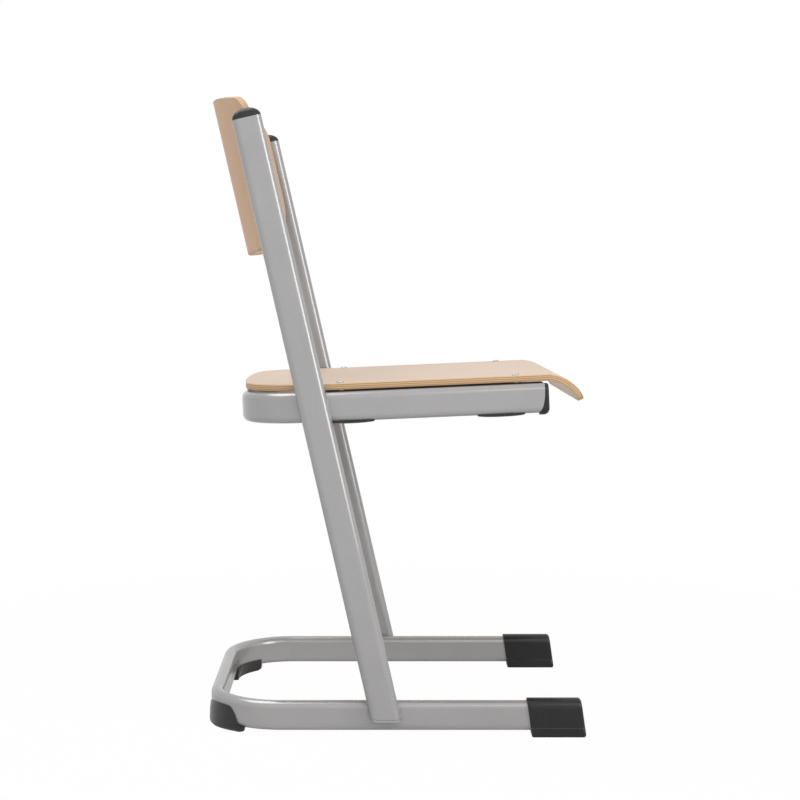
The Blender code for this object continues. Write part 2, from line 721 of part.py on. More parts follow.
def back_panel(rake_plane, cutters):
    """Moulded plywood back, curved round the sitter, with an arched top and round lower corners."""
    rings = []
    for across in back_stations():
        low, high = back_edges(across)
        angle = across / BACK_RADIUS
        ring = []
        for reach, height in (
            (BACK_RADIUS, low),
            (BACK_RADIUS - PLY, low),
            (BACK_RADIUS - PLY, high),
            (BACK_RADIUS, high),
        ):
            ring.append((BACK_CENTRE_X - reach * math.cos(angle), reach * math.sin(angle), height))
        rings.append(ring)
    obj = add_object("back_panel", loft(rings), rake_plane, BEECH)
    round_edges(obj, PLY_ROUND)
    for cutter in cutters:
        cut(obj, cutter)


def seat_strip(name, side, seat_plane, cutters):
    """An angle strip inside a leg of the seat frame that carries one side of the seat."""
    outer = LEG_Y - TUBE_ROUND - CLEAR
    inner = SEAT_RIVET_Y - STRIP_MARGIN
    outline = [
        (outer, 0.0),
        (outer, -STRIP_FLANGE),
        (outer - STRIP_SHEET, -STRIP_FLANGE),
        (outer - STRIP_SHEET, -STRIP_SHEET),
        (inner, -STRIP_SHEET),
        (inner, 0.0),
    ]
    rings = []
    for x in (STRIP_REAR, RAIL_FRONT):
        rings.append([(x, side * across, up) for across, up in outline])
    obj = add_object(name, loft(rings), seat_plane, DARK_STEEL)
    for cutter in cutters:
        cut(obj, cutter)


def seat_spacer(name, place, seat_plane):
    """A washer between a seat strip and the seat."""
    bore = RIVET_RADIUS + CLEAR
    rings = lathe(
        [(bore, CLEAR), (SPACER_RADIUS, CLEAR), (SPACER_RADIUS, CLEAR + SPACER), (bore, CLEAR + SPACER)]
    )
    bm = bmesh.new()
    loops = [[bm.verts.new(point) for point in ring] for ring in rings]
    for first, second in zip(loops, loops[1:] + loops[:1]):
        for index in range(CIRCLE_STEPS):
            after = (index + 1) % CIRCLE_STEPS
            bm.faces.new((first[index], first[after], second[after], second[index]))
    obj = add_object(name, bm, seat_plane, BARE_STEEL)
    obj.location = place


def back_bracket(name, side, middle_z, rake_plane, cutter):
    """A bent strip from an upright's inner face to the rear face of the back panel."""
    inner = BACK_RADIUS + CLEAR
    outer = inner + BRACKET_SHEET
    face = UPRIGHT_INNER - CLEAR
    first = math.asin((BACK_HALF - BRACKET_REACH) / BACK_RADIUS)
    outline = []
    last = math.asin(face / inner)
    for step in range(ROUND_STEPS + 1):
        angle = first + (last - first) * step / ROUND_STEPS
        outline.append((BACK_CENTRE_X - inner * math.cos(angle), inner * math.sin(angle)))
    outline.append((-BRACKET_FLANGE, face))
    outline.append((-BRACKET_FLANGE, face - BRACKET_SHEET))
    last = math.asin((face - BRACKET_SHEET) / outer)
    for step in range(ROUND_STEPS, -1, -1):
        angle = first + (last - first) * step / ROUND_STEPS
        outline.append((BACK_CENTRE_X - outer * math.cos(angle), outer * math.sin(angle)))
    rings = []
    for z in (middle_z - BRACKET_HEIGHT / 2, middle_z + BRACKET_HEIGHT / 2):
        rings.append([(x, side * y, z) for x, y in outline])
    obj = add_object(name, loft(rings), rake_plane, COATED_STEEL)
    cut(obj, cutter)


def build_base():
    """The floor runner with its feet and glides."""
    middle = RUNNER_LIFT + TUBE_HEIGHT / 2
    bent_tube("base_runner", RUNNER_FRONT, RUNNER_REAR, RUNNER_BEND, middle, 0.0, 0.0, None)
    for word, side in SIDES:
        front_foot("front_foot_" + word, side)
        rear_glide("rear_glide_" + word, side)


def build_seat(seat_plane):
    """The seat frame, its plugs and pads, and the seat on its strips."""
    middle = -TUBE_HEIGHT / 2
    ends = (RAIL_FRONT, RAIL_REAR)
    bent_tube("seat_frame", *ends, RAIL_BEND, middle, RAIL_END_SWEEP, RAIL_SWELL, seat_plane)
    grip = CLEAR + PLY + SEAT_GAP + STRIP_SHEET + CLEAR
    up = (0.0, 0.0, 1.0)
    cutters = []
    for word, side in SIDES:
        seat_frame_plug("seat_frame_plug_" + word, side, seat_plane)
        side_cutters = []
        for end, pad_x, rivet_x in (
            ("front", PAD_FRONT_X, SEAT_RIVET_FRONT_X),
            ("rear", PAD_REAR_X, SEAT_RIVET_REAR_X),
        ):
            where = end + "_" + word
            table_pad("table_pad_" + where, side, pad_x, seat_plane)
            place = Vector((rivet_x, side * SEAT_RIVET_Y, 0.0))
            side_cutters.append(hole_cutter("seat_hole_" + where, seat_plane, place, up))
            seat_spacer("seat_spacer_" + where, place, seat_plane)
            head = place + Vector((0.0, 0.0, SEAT_GAP + PLY + CLEAR))
            rivet("seat_rivet_" + where, grip, seat_plane, head, up)
        seat_strip("seat_strip_" + word, side, seat_plane, side_cutters)
        cutters += side_cutters
    seat_panel(seat_plane, cutters)


def build_back(rake_plane):
    """The uprights with their plates and caps, and the back panel on its brackets."""
    grip = CLEAR + PLY + CLEAR + BRACKET_SHEET + CLEAR
    cutters = []
    for word, side in SIDES:
        upright("upright_" + word, side, rake_plane)
        upright_end_plate("upright_end_plate_" + word, side, rake_plane)
        upright_cap("upright_cap_" + word, side, rake_plane)
        inward = Vector((math.cos(BACK_RIVET_ANGLE), -side * math.sin(BACK_RIVET_ANGLE), 0.0))
        for level, z in (("upper", BRACKET_UPPER), ("lower", BRACKET_LOWER)):
            where = level + "_" + word
            centre = Vector((BACK_CENTRE_X, 0.0, z))
            rear_face = centre - BACK_RADIUS * inward
            cutter = hole_cutter("back_hole_" + where, rake_plane, rear_face, inward)
            cutters.append(cutter)
            back_bracket("back_bracket_" + where, side, z, rake_plane, cutter)
            head = rear_face + (PLY + CLEAR) * inward
            rivet("back_rivet_" + where, grip, rake_plane, head, inward)
    back_panel(rake_plane, cutters)


def main():
    """Build the chair."""
    clear_scene()
    seat_plane = add_empty("seat_plane", (0.0, 0.0, RAIL_TOP), -SEAT_TILT)
    rake_plane = add_empty("rake_plane", (UPRIGHT_FOOT_X, 0.0, 0.0), -RAKE)
    build_base()
    build_seat(seat_plane)
    build_back(rake_plane)


main()
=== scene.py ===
"""Studio scene of a fixed cantilever chair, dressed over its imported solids."""

import logging
import math
from dataclasses import dataclass, field
from enum import Enum
from typing import Callable, Iterable, Sequence

import bmesh
import bpy
from mathutils import Matrix, Vector


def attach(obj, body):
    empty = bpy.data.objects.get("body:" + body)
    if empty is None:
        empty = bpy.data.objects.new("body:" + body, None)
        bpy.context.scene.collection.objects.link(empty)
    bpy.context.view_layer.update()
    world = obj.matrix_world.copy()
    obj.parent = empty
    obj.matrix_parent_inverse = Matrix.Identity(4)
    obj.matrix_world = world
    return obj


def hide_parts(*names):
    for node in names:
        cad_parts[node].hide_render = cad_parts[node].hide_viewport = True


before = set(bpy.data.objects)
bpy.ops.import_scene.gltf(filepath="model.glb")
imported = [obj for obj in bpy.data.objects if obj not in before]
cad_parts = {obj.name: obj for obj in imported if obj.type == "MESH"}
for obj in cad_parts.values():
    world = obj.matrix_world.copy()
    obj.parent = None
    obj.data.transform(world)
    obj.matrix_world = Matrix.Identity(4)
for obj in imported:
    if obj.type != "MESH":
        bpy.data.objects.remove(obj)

log = logging.getLogger("chair")

Pair = tuple[float, float]
Triple = tuple[float, float, float]
Outline = list[Pair]
Ring = list[Triple]
Verts = Sequence[bmesh.types.BMVert]
Bend = Callable[[float, float, float], Triple]
# Strength of a bump, from 0 to 1, and its depth in metres
Relief = tuple[float, float]
Socket = bpy.types.NodeSocket

ROOT = "root"
ON_FLOOR = Matrix.Identity(4)
SHARP_EDGE = math.radians(32)
# Range that holds most values of a noise
COMMON: Pair = (0.3, 0.7)
# Smallest length that is divided by
TINY = 1e-9
# Material slots of a plywood panel
FACE = 0
EDGE = 1


class Side(Enum):
    """The two sides of the chair, with the sign of their Y."""

    LEFT = 1
    RIGHT = -1

    @property
    def word(self) -> str:
        """Lower-case name, as used in piece names."""
        return self.name.lower()


class End(Enum):
    """The two ends of the seat."""

    FRONT = "front"
    REAR = "rear"


class Level(Enum):
    """The two heights of the back's fixings."""

    UPPER = "upper"
    LOWER = "lower"


class Grain(Enum):
    """Direction of a veneer's grain, as its turn from the panel's length."""

    ALONG = 0.0
    ACROSS = math.pi / 2


class Slot(Enum):
    """Material slots of the record."""

    FRAME = "frame_coat"
    STRIP = "strip_coat"
    PLYWOOD = "plywood"
    BLACK = "black_plastic"
    GREY = "grey_plastic"
    RIVET = "rivet_steel"


class NodeGraph:
    """The node tree of a material or world, with short ways to add and join nodes."""

    def __init__(self, owner: bpy.types.Material | bpy.types.World, shader: str = "Principled BSDF") -> None:
        """Switch a material or world to nodes.

        Args:
            owner: The material or world.
            shader: Name of the shader node that it starts with.
        """
        owner.use_nodes = True
        self.owner = owner
        self.tree = owner.node_tree
        self.shader = self.tree.nodes[shader]

    def put(self, socket: Socket, value: object) -> None:
        """Set an input to a value, or join it to another socket.

        Args:
            socket: The input to fill.
            value: A constant or an output socket.
        """
        if isinstance(value, Socket):
            self.tree.links.new(value, socket)
        else:
            socket.default_value = value

    def fill(self, node: bpy.types.Node, **inputs: object) -> None:
        """Fill inputs of a node, named with underscores for spaces."""
        for key, value in inputs.items():
            self.put(node.inputs[key.replace("_", " ")], value)

    def set(self, **inputs: object) -> None:
        """Fill inputs of the main shader, named with underscores for spaces."""
        self.fill(self.shader, **inputs)

    def add(self, kind: str, **inputs: object) -> bpy.types.Node:
        """Add a node and fill its inputs.

        Args:
            kind: Blender's name of the node type.
            **inputs: Values or sockets by input name, with underscores for spaces.

        Returns:
            The new node.
        """
        node = self.tree.nodes.new(kind)
        self.fill(node, **inputs)
        return node

    def math(self, operation: str, first: object, second: object = 0.0) -> Socket:
        """Add a Math node.

        Args:
            operation: Blender's name of the operation.
            first: First operand, a number or a socket.
            second: Second operand, a number or a socket.

        Returns:
            The node's output.
        """
        node = self.add("ShaderNodeMath")
        node.operation = operation
        self.put(node.inputs[0], first)
        self.put(node.inputs[1], second)
        return node.outputs[0]

    def coordinates(self, output: str) -> Socket:
        """Texture coordinates of one kind."""
        return self.add("ShaderNodeTexCoord").outputs[output]

    def noise(self, vector: Socket, scale: float, detail: float = 2.0) -> Socket:
        """Noise of 0 to 1, with its features per metre and its number of octaves."""
        return self.add("ShaderNodeTexNoise", Vector=vector, Scale=scale, Detail=detail).outputs["Fac"]

    def streaks(self, vector: Socket, density: Pair, detail: float = 2.0) -> Socket:
        """Noise of 0 to 1, with its features per metre along the grain and across it."""
        node = self.add("ShaderNodeMapping", Vector=vector, Scale=(*density, 1.0))
        return self.noise(node.outputs["Vector"], 1.0, detail)

    def span(self, value: Socket, target: Pair, source: Pair = COMMON, smooth: bool = False) -> Socket:
        """Map a value from one range to another, clamped.

        Args:
            value: The value to map.
            target: What the low and high end become.
            source: Low and high end of the value.
            smooth: Whether the change eases in and out.

        Returns:
            The mapped value.
        """
        node = self.add("ShaderNodeMapRange", Value=value)
        if smooth:
            node.interpolation_type = "SMOOTHSTEP"
        self.fill(node, From_Min=source[0], From_Max=source[1], To_Min=target[0], To_Max=target[1])
        return node.outputs["Result"]

    def blend(self, share: object, first: object, second: object, mode: str = "MIX") -> Socket:
        """Mix two colours.

        Args:
            share: How much of the second colour shows.
            first: First colour, a value or a socket.
            second: Second colour, a value or a socket.
            mode: Blender's name of the blend mode.

        Returns:
            The mixed colour.
        """
        node = self.add("ShaderNodeMix")
        node.data_type = "RGBA"
        node.blend_type = mode
        for index, value in ((0, share), (6, first), (7, second)):
            self.put(node.inputs[index], value)
        return node.outputs[2]

    def mottle(self, noise: Socket, colour: Triple, tones: Pair) -> Socket:
        """A colour that varies with a noise between two tones of it."""
        return self.blend(self.span(noise, (0.0, 1.0)), rgba(colour, tones[0]), rgba(colour, tones[1]))

    def bump(self, height: Socket, relief: Relief) -> None:
        """Give the shader a bump."""
        node = self.add("ShaderNodeBump", Height=height, Strength=relief[0], Distance=relief[1])
        self.set(Normal=node.outputs["Normal"])

    def seen(self) -> Socket:
        """Whether a ray comes straight, by reflection or through glass from the camera.

        Returns:
            1 for such rays, otherwise 0.
        """
        path = self.add("ShaderNodeLightPath")
        value = path.outputs["Is Camera Ray"]
        for name in ("Is Glossy Ray", "Is Transmission Ray"):
            value = self.math("MAXIMUM", value, path.outputs[name])
        return value


def rgba(colour: Triple, factor: float = 1.0) -> tuple[float, float, float, float]:
    """A linear colour times a factor, with alpha."""
    return (colour[0] * factor, colour[1] * factor, colour[2] * factor, 1.0)


@dataclass(frozen=True)
class PowderCoat:
    """Silver-grey coat with fine metal flakes and a slight orange peel."""

    name: str = "silver_coat"
    colour: Triple = (0.376, 0.370, 0.369)
    metallic: float = 0.32
    roughness: Pair = (0.18, 0.22)
    flake_scale: float = 1900.0
    flake_tones: Pair = (0.90, 1.10)
    cloud_scale: float = 14.0
    cloud_tones: Pair = (0.97, 1.02)
    peel_scale: float = 420.0
    peel: Relief = (0.10, 0.0002)

    def material(self) -> bpy.types.Material:
        """Build the coat's material.

        Returns:
            The material.
        """
        graph = NodeGraph(bpy.data.materials.new(self.name))
        place = graph.coordinates("Object")
        flakes = graph.mottle(graph.noise(place, self.flake_scale, detail=1.0), self.colour, self.flake_tones)
        cloud = graph.noise(place, self.cloud_scale, detail=3.0)
        tone = graph.span(cloud, self.cloud_tones)
        graph.set(Base_Color=graph.blend(1.0, flakes, tone, "MULTIPLY"))
        graph.set(Metallic=self.metallic, Roughness=graph.span(cloud, self.roughness))
        graph.bump(graph.noise(place, self.peel_scale), self.peel)
        return graph.owner


@dataclass(frozen=True)
class Streak:
    """One kind of streaks in wood.

    Attributes:
        density: Streaks per metre along the grain and across it.
        detail: Number of octaves of their noise.
        limits: Noise values between which they fade in.
        share: How much of their colour shows at most.
        tone: Factor on their colour.
    """

    density: Pair
    detail: float
    limits: Pair
    share: float
    tone: float = 1.0

    def noise(self, graph: NodeGraph, place: Socket) -> Socket:
        """Noise that places the streaks."""
        return graph.streaks(place, self.density, self.detail)

    def laid(self, graph: NodeGraph, noise: Socket, ground: object, colour: Triple) -> Socket:
        """The ground's colour with the streaks on it.

        Args:
            graph: The material's nodes.
            noise: Noise that places the streaks.
            ground: Colour under them, a value or a socket.
            colour: Colour of the streaks.

        Returns:
            The mixed colour.
        """
        share = graph.span(noise, (0.0, self.share), self.limits)
        return graph.blend(share, ground, rgba(colour, self.tone))


@dataclass(frozen=True)
class Veneer:
    """Lacquered beech face veneer with fine fibres and short ray flecks."""

    name: str
    grain: Grain
    colour: Triple = (0.775, 0.612, 0.488)
    dark: Triple = (0.630, 0.458, 0.332)
    gloss: float = 0.5
    roughness: Pair = (0.46, 0.56)
    figure: Streak = Streak((2.2, 34.0), 3.0, (0.3, 0.72), 0.20)
    fibre: Streak = Streak((22.0, 900.0), 4.0, (0.42, 0.75), 0.16)
    fleck: Streak = Streak((210.0, 1500.0), 1.0, (0.60, 0.70), 0.22, 0.82)
    relief: Relief = (0.10, 0.0001)

    def material(self) -> bpy.types.Material:
        """Build the veneer's material.

        Returns:
            The material.
        """
        graph = NodeGraph(bpy.data.materials.new(self.name))
        turn = (0.0, 0.0, self.grain.value)
        turned = graph.add("ShaderNodeMapping", Vector=graph.coordinates("UV"), Rotation=turn)
        place = turned.outputs["Vector"]
        fibres = self.fibre.noise(graph, place)
        tone = self.figure.laid(graph, self.figure.noise(graph, place), rgba(self.colour), self.dark)
        tone = self.fibre.laid(graph, fibres, tone, self.dark)
        tone = self.fleck.laid(graph, self.fleck.noise(graph, place), tone, self.dark)
        graph.set(Base_Color=tone, Roughness=graph.span(fibres, self.roughness))
        graph.set(Specular_IOR_Level=self.gloss)
        graph.bump(fibres, self.relief)
        return graph.owner


@dataclass(frozen=True)
class PlyEdge:
    """Sanded plywood edge with alternating plies and thin glue lines."""

    thickness: float
    name: str = "ply_edge"
    plies: int = 7
    along: Triple = (0.720, 0.500, 0.300)
    across: Triple = (0.450, 0.265, 0.130)
    glue: Triple = (0.290, 0.165, 0.082)
    roughness: Pair = (0.46, 0.60)
    wander_density: Pair = (60.0, 1.0)
    wander_limits: Pair = (0.2, 0.8)
    wander: Pair = (-0.08, 0.08)
    glue_limits: Pair = (0.40, 0.48)
    glue_share: float = 0.75
    fibre: Streak = Streak((40.0, 2600.0), 3.0, (0.4, 0.75), 0.35)
    pore: Streak = Streak((2400.0, 2400.0), 2.0, (0.45, 0.7), 0.45)
    relief: Relief = (0.12, 0.0001)

    def material(self) -> bpy.types.Material:
        """Build the edge's material.

        Returns:
            The material.
        """
        graph = NodeGraph(bpy.data.materials.new(self.name))
        place = graph.coordinates("UV")
        depth = graph.add("ShaderNodeSeparateXYZ", Vector=place).outputs["Y"]
        wander = graph.span(graph.streaks(place, self.wander_density), self.wander, self.wander_limits)
        layer = graph.math("ADD", graph.math("MULTIPLY", depth, self.plies / self.thickness), wander)
        odd = graph.math("GREATER_THAN", graph.math("FRACT", graph.math("MULTIPLY", layer, 0.5)), 0.5)
        from_middle = graph.math("ABSOLUTE", graph.math("SUBTRACT", graph.math("FRACT", layer), 0.5))
        line = graph.span(from_middle, (0.0, self.glue_share), self.glue_limits)
        pores = self.pore.noise(graph, place)
        long_ply = self.fibre.laid(graph, self.fibre.noise(graph, place), rgba(self.along), self.across)
        end_ply = self.pore.laid(graph, pores, rgba(self.across), self.glue)
        tone = graph.blend(odd, long_ply, end_ply)
        graph.set(Base_Color=graph.blend(line, tone, rgba(self.glue)))
        graph.set(Roughness=graph.span(pores, self.roughness))
        graph.bump(pores, self.relief)
        return graph.owner


@dataclass(frozen=True)
class MouldedPlastic:
    """Moulded plastic with a fine eroded grain."""

    name: str
    colour: Triple
    roughness: Pair = (0.20, 0.28)
    gloss: float = 0.25
    cloud_scale: float = 55.0
    cloud_tones: Pair = (0.90, 1.12)
    grain_scale: float = 2200.0
    grain: Relief = (0.10, 0.0001)

    def material(self) -> bpy.types.Material:
        """Build the plastic's material.

        Returns:
            The material.
        """
        graph = NodeGraph(bpy.data.materials.new(self.name))
        place = graph.coordinates("Object")
        cloud = graph.noise(place, self.cloud_scale, detail=3.0)
        graph.set(Base_Color=graph.mottle(cloud, self.colour, self.cloud_tones))
        graph.set(Roughness=graph.span(cloud, self.roughness), Specular_IOR_Level=self.gloss)
        graph.bump(graph.noise(place, self.grain_scale), self.grain)
        return graph.owner


@dataclass(frozen=True)
class BrightSteel:
    """Bright rivet steel with faint tool marks."""

    name: str = "rivet_steel"
    colour: Triple = (0.50, 0.48, 0.46)
    roughness: Pair = (0.20, 0.34)
    mark_scale: float = 1500.0
    mark_tones: Pair = (0.90, 1.05)

    def material(self) -> bpy.types.Material:
        """Build the steel's material.

        Returns:
            The material.
        """
        graph = NodeGraph(bpy.data.materials.new(self.name))
        marks = graph.noise(graph.coordinates("Object"), self.mark_scale)
        graph.set(Base_Color=graph.mottle(marks, self.colour, self.mark_tones))
        graph.set(Metallic=1.0, Roughness=graph.span(marks, self.roughness))
        return graph.owner


@dataclass(frozen=True)
class Look:
    """Materials of a piece, and its slot in the record."""

    slot: Slot
    materials: tuple[bpy.types.Material, ...]


class Draft:
    """A mesh under construction, with UV coordinates in metres."""

    def __init__(self) -> None:
        """Start an empty mesh."""
        self.bm = bmesh.new()
        self.uv = self.bm.loops.layers.uv.new("metres")

    def ring(self, points: Iterable[Triple]) -> list[bmesh.types.BMVert]:
        """Add the points of one ring and return their verts."""
        return [self.bm.verts.new(point) for point in points]

    def face(self, verts: Verts, uvs: Sequence[Pair] = (), slot: int = FACE) -> None:
        """Add a face.

        Args:
            verts: Corners of the face.
            uvs: UV of each corner, or nothing.
            slot: Index of its material.
        """
        made = self.bm.faces.new(verts)
        made.material_index = slot
        for loop, uv in zip(made.loops, uvs):
            loop[self.uv].uv = uv

    def band(self, first: Verts, second: Verts) -> None:
        """Join two closed rings of equal counts with quads.

        Args:
            first: Verts of the first ring.
            second: Verts of the second ring.
        """
        count = len(first)
        for index in range(count):
            after = (index + 1) % count
            self.face((first[index], first[after], second[after], second[index]))

    def loft(self, rings: Sequence[Ring]) -> list[list[bmesh.types.BMVert]]:
        """Join a row of rings, with open ends.

        Args:
            rings: Points of each ring.

        Returns:
            The verts of each ring.
        """
        made = [self.ring(points) for points in rings]
        for first, second in zip(made, made[1:]):
            self.band(first, second)
        return made

    def build(self, name: str, materials: Iterable[bpy.types.Material], place: Matrix) -> bpy.types.Object:
        """Turn the draft into a smooth-shaded object in the row's frame.

        Args:
            name: Name of the object.
            materials: Its material slots.
            place: Matrix from the draft's frame to the row's frame.

        Returns:
            The object.
        """
        bmesh.ops.recalc_face_normals(self.bm, faces=self.bm.faces)
        mesh = bpy.data.meshes.new(name)
        self.bm.to_mesh(mesh)
        self.bm.free()
        mesh.transform(place)
        mesh.shade_smooth()
        mesh.set_sharp_from_angle(angle=SHARP_EDGE)
        for material in materials:
            mesh.materials.append(material)
        obj = bpy.data.objects.new(name, mesh)
        bpy.context.scene.collection.objects.link(obj)
        return obj

    def piece(self, name: str, look: Look, place: Matrix, *nodes: str) -> None:
        """Build a piece, fix it to the chair's body and let it stand for CAD nodes.

        Args:
            name: Name of the piece.
            look: Its materials and slot.
            place: Matrix from the draft's frame to the row's frame.
            *nodes: CAD nodes that it replaces.
        """
        obj = self.build(name, look.materials, place)
        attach(obj, ROOT)
        if nodes:
            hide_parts(*nodes)
        log.info("piece %s", obj.name)


def solid(rings: Sequence[Ring]) -> Draft:
    """A body through a row of rings, with both ends filled.

    Args:
        rings: Points of each ring.

    Returns:
        The mesh.
    """
    draft = Draft()
    made = draft.loft(rings)
    draft.face(made[0])
    draft.face(made[-1])
    return draft


def hollow(outer: Sequence[Ring], inner: Sequence[Ring]) -> Draft:
    """A tube with a wall between two skins.

    Args:
        outer: Points of each ring of the outer skin.
        inner: Points of each ring of the inner skin.

    Returns:
        The mesh.
    """
    draft = Draft()
    skins = [draft.loft(rings) for rings in (outer, inner)]
    for end in (0, -1):
        draft.band(skins[0][end], skins[1][end])
    return draft


def quarter(steps: int) -> list[float]:
    """Angles of a quarter turn in equal steps."""
    return [math.pi / 2 * step / steps for step in range(steps + 1)]


@dataclass(frozen=True)
class TubeSection:
    """Flat-oval tube section."""

    height: float = 0.0385
    width: float = 0.018
    wall: float = 0.0018
    support: float = 0.0012
    sweep_power: int = 3
    steps: int = 20
    flat_steps: int = 6

    @property
    def radius(self) -> float:
        """Radius of the round ends."""
        return self.width / 2

    def setback(self, sweep: float, up: float) -> float:
        """How far a swept end lies back at a height from the section's middle."""
        return sweep * (0.5 - up / self.height) ** self.sweep_power

    def outline(self, inset: float = 0.0, drop: float = 0.0) -> Outline:
        """Outline of the section as (across, up) pairs.

        Args:
            inset: How far the outline is drawn in.
            drop: How much the lower end reaches further down.

        Returns:
            The points, in order round the section.
        """
        radius = self.radius - inset
        straight = self.height / 2 - self.radius
        points: Outline = []
        for sign, reach, other in ((1, straight, straight + drop), (-1, straight + drop, straight)):
            for step in range(self.steps + 1):
                angle = math.pi * step / self.steps
                up = sign * (reach + radius * math.sin(angle))
                points.append((sign * radius * math.cos(angle), up))
            start = sign * (reach - self.support)
            end = -sign * (other - self.support)
            for step in range(self.flat_steps + 1):
                points.append((-sign * radius, start + (end - start) * step / self.flat_steps))
        return points


@dataclass(frozen=True)
class ChairPlan:
    """Sizes that several sub-assemblies share."""

    tube: TubeSection = field(default_factory=TubeSection)
    clear: float = 0.0003
    leg_y: float = 0.192
    rake: float = math.radians(13.05)
    upright_foot_x: float = -0.0039
    seat_tilt: float = math.radians(2.5)
    rail_top: float = 0.4503
    ply: float = 0.0085

    @property
    def upright_y(self) -> float:
        """Distance of the uprights' centre planes from the middle plane."""
        return self.leg_y + self.tube.width + self.clear

    @property
    def upright_inner(self) -> float:
        """Distance of the uprights' inner faces from the middle plane."""
        return self.upright_y - self.tube.radius

    @property
    def seat_frame(self) -> Matrix:
        """Frame of the tilted seat plane, with Z = 0 on top of the rails."""
        return Matrix.Translation((0.0, 0.0, self.rail_top)) @ Matrix.Rotation(-self.seat_tilt, 4, "Y")

    @property
    def rake_frame(self) -> Matrix:
        """Frame of the raked uprights, with Z along them from the floor."""
        foot = Matrix.Translation((self.upright_foot_x, 0.0, 0.0))
        return foot @ Matrix.Rotation(-self.rake, 4, "Y")

    def along_upright(self, height: float, forward: float) -> float:
        """Length along the uprights at which a point forward of their axis has a height."""
        return (height - forward * math.sin(self.rake)) / math.cos(self.rake)


@dataclass(frozen=True)
class Finishes:
    """All looks of the chair."""

    coat: Look
    # Near-black coat of the seat strips: painted shade for the gap under the seat
    dark_coat: Look
    seat_ply: Look
    # Darker copy of the seat's plywood look: painted shade on the back's rear face
    back_ply: Look
    black: Look
    grey: Look
    steel: Look

    @classmethod
    def make(cls, plan: ChairPlan) -> "Finishes":
        """Build every material once.

        Args:
            plan: Shared sizes.

        Returns:
            The looks.
        """
        # Near-black coat for the seat strips, painted shade: it darkens the gap between the seat and its
        # rails
        dark_coat = PowderCoat("dark_coat", (0.030, 0.029, 0.029), metallic=0.0, roughness=(0.5, 0.6))
        seat_veneer = Veneer("seat_veneer", Grain.ALONG)
        # Darker, more orange copy of the seat's beech for the back: painted shade for the back's rear face
        back_veneer = Veneer(
            "back_veneer",
            Grain.ACROSS,
            colour=(0.740, 0.492, 0.325),
            dark=(0.590, 0.370, 0.222),
            gloss=0.22,
        )
        ply_edge = PlyEdge(plan.ply).material()
        black = MouldedPlastic("black_plastic", (0.0145, 0.0147, 0.0153), gloss=0.38)
        grey = MouldedPlastic("grey_plastic", (0.030, 0.030, 0.031))
        return cls(
            coat=Look(Slot.FRAME, (PowderCoat().material(),)),
            dark_coat=Look(Slot.STRIP, (dark_coat.material(),)),
            seat_ply=Look(Slot.PLYWOOD, (seat_veneer.material(), ply_edge)),
            back_ply=Look(Slot.PLYWOOD, (back_veneer.material(), ply_edge)),
            black=Look(Slot.BLACK, (black.material(),)),
            grey=Look(Slot.GREY, (grey.material(),)),
            steel=Look(Slot.RIVET, (BrightSteel().material(),)),
        )


@dataclass(frozen=True)
class BentTube:
    """A hollow U of tube that is open to the front.

    Attributes:
        plan: Shared sizes.
        front: X of the front ends, at the top of the tube.
        rear: X of the outer rear face.
        radius: Radius of the bends.
        middle: Z of the tube's middle.
        sweep: How much further back the ends lie at the bottom of the tube.
        swell: How much higher the tube is in its bends.
        swell_run: Length over which it gets higher.
    """

    plan: ChairPlan
    front: float
    rear: float
    radius: float
    middle: float
    sweep: float = 0.0
    swell: float = 0.0
    swell_run: float = 0.030
    bend_steps: int = 36
    run_steps: int = 8

    @property
    def bend_x(self) -> float:
        """X where the bends start."""
        return self.rear + self.plan.tube.radius + self.radius

    def lifted(self, up: float, rise: float) -> float:
        """Z of a point of the section, with the upper half moved up."""
        return self.middle + up + (rise if up > 0 else 0.0)

    def leg_ring(self, outline: Outline, share: float) -> Ring:
        """Section of the left leg on its last stretch before the bend.

        Args:
            outline: Outline of the section.
            share: How far along the stretch it lies, from 0 to 1.

        Returns:
            The points.
        """
        rise = self.swell * share * share * (3 - 2 * share)
        x = self.bend_x + self.swell_run * (1 - share)
        return [(x, self.plan.leg_y + across, self.lifted(up, rise)) for across, up in outline]

    def bend_ring(self, outline: Outline, angle: float) -> Ring:
        """Section in the left bend.

        Args:
            outline: Outline of the section.
            angle: Angle from the start of the bend.

        Returns:
            The points.
        """
        bend_y = self.plan.leg_y - self.radius
        points: Ring = []
        for across, up in outline:
            reach = self.radius + across
            x = self.bend_x - reach * math.sin(angle)
            points.append((x, bend_y + reach * math.cos(angle), self.lifted(up, self.swell)))
        return points

    def skin(self, inset: float) -> list[Ring]:
        """Sections of one skin, from the left front end round to the right one.

        Args:
            inset: How far the skin lies inside the outer one.

        Returns:
            The points of each section.
        """
        tube = self.plan.tube
        outline = tube.outline(inset)
        left: list[Ring] = [[]]
        for across, up in outline:
            x = self.front - tube.setback(self.sweep, up)
            left[0].append((x, self.plan.leg_y + across, self.middle + up))
        left += [self.leg_ring(outline, step / self.run_steps) for step in range(self.run_steps)]
        left += [self.bend_ring(outline, angle) for angle in quarter(self.bend_steps)]
        return left + [[(x, -y, z) for x, y, z in ring] for ring in reversed(left)]

    def draft(self) -> Draft:
        """The tube with its wall."""
        return hollow(self.skin(0.0), self.skin(self.plan.tube.wall))


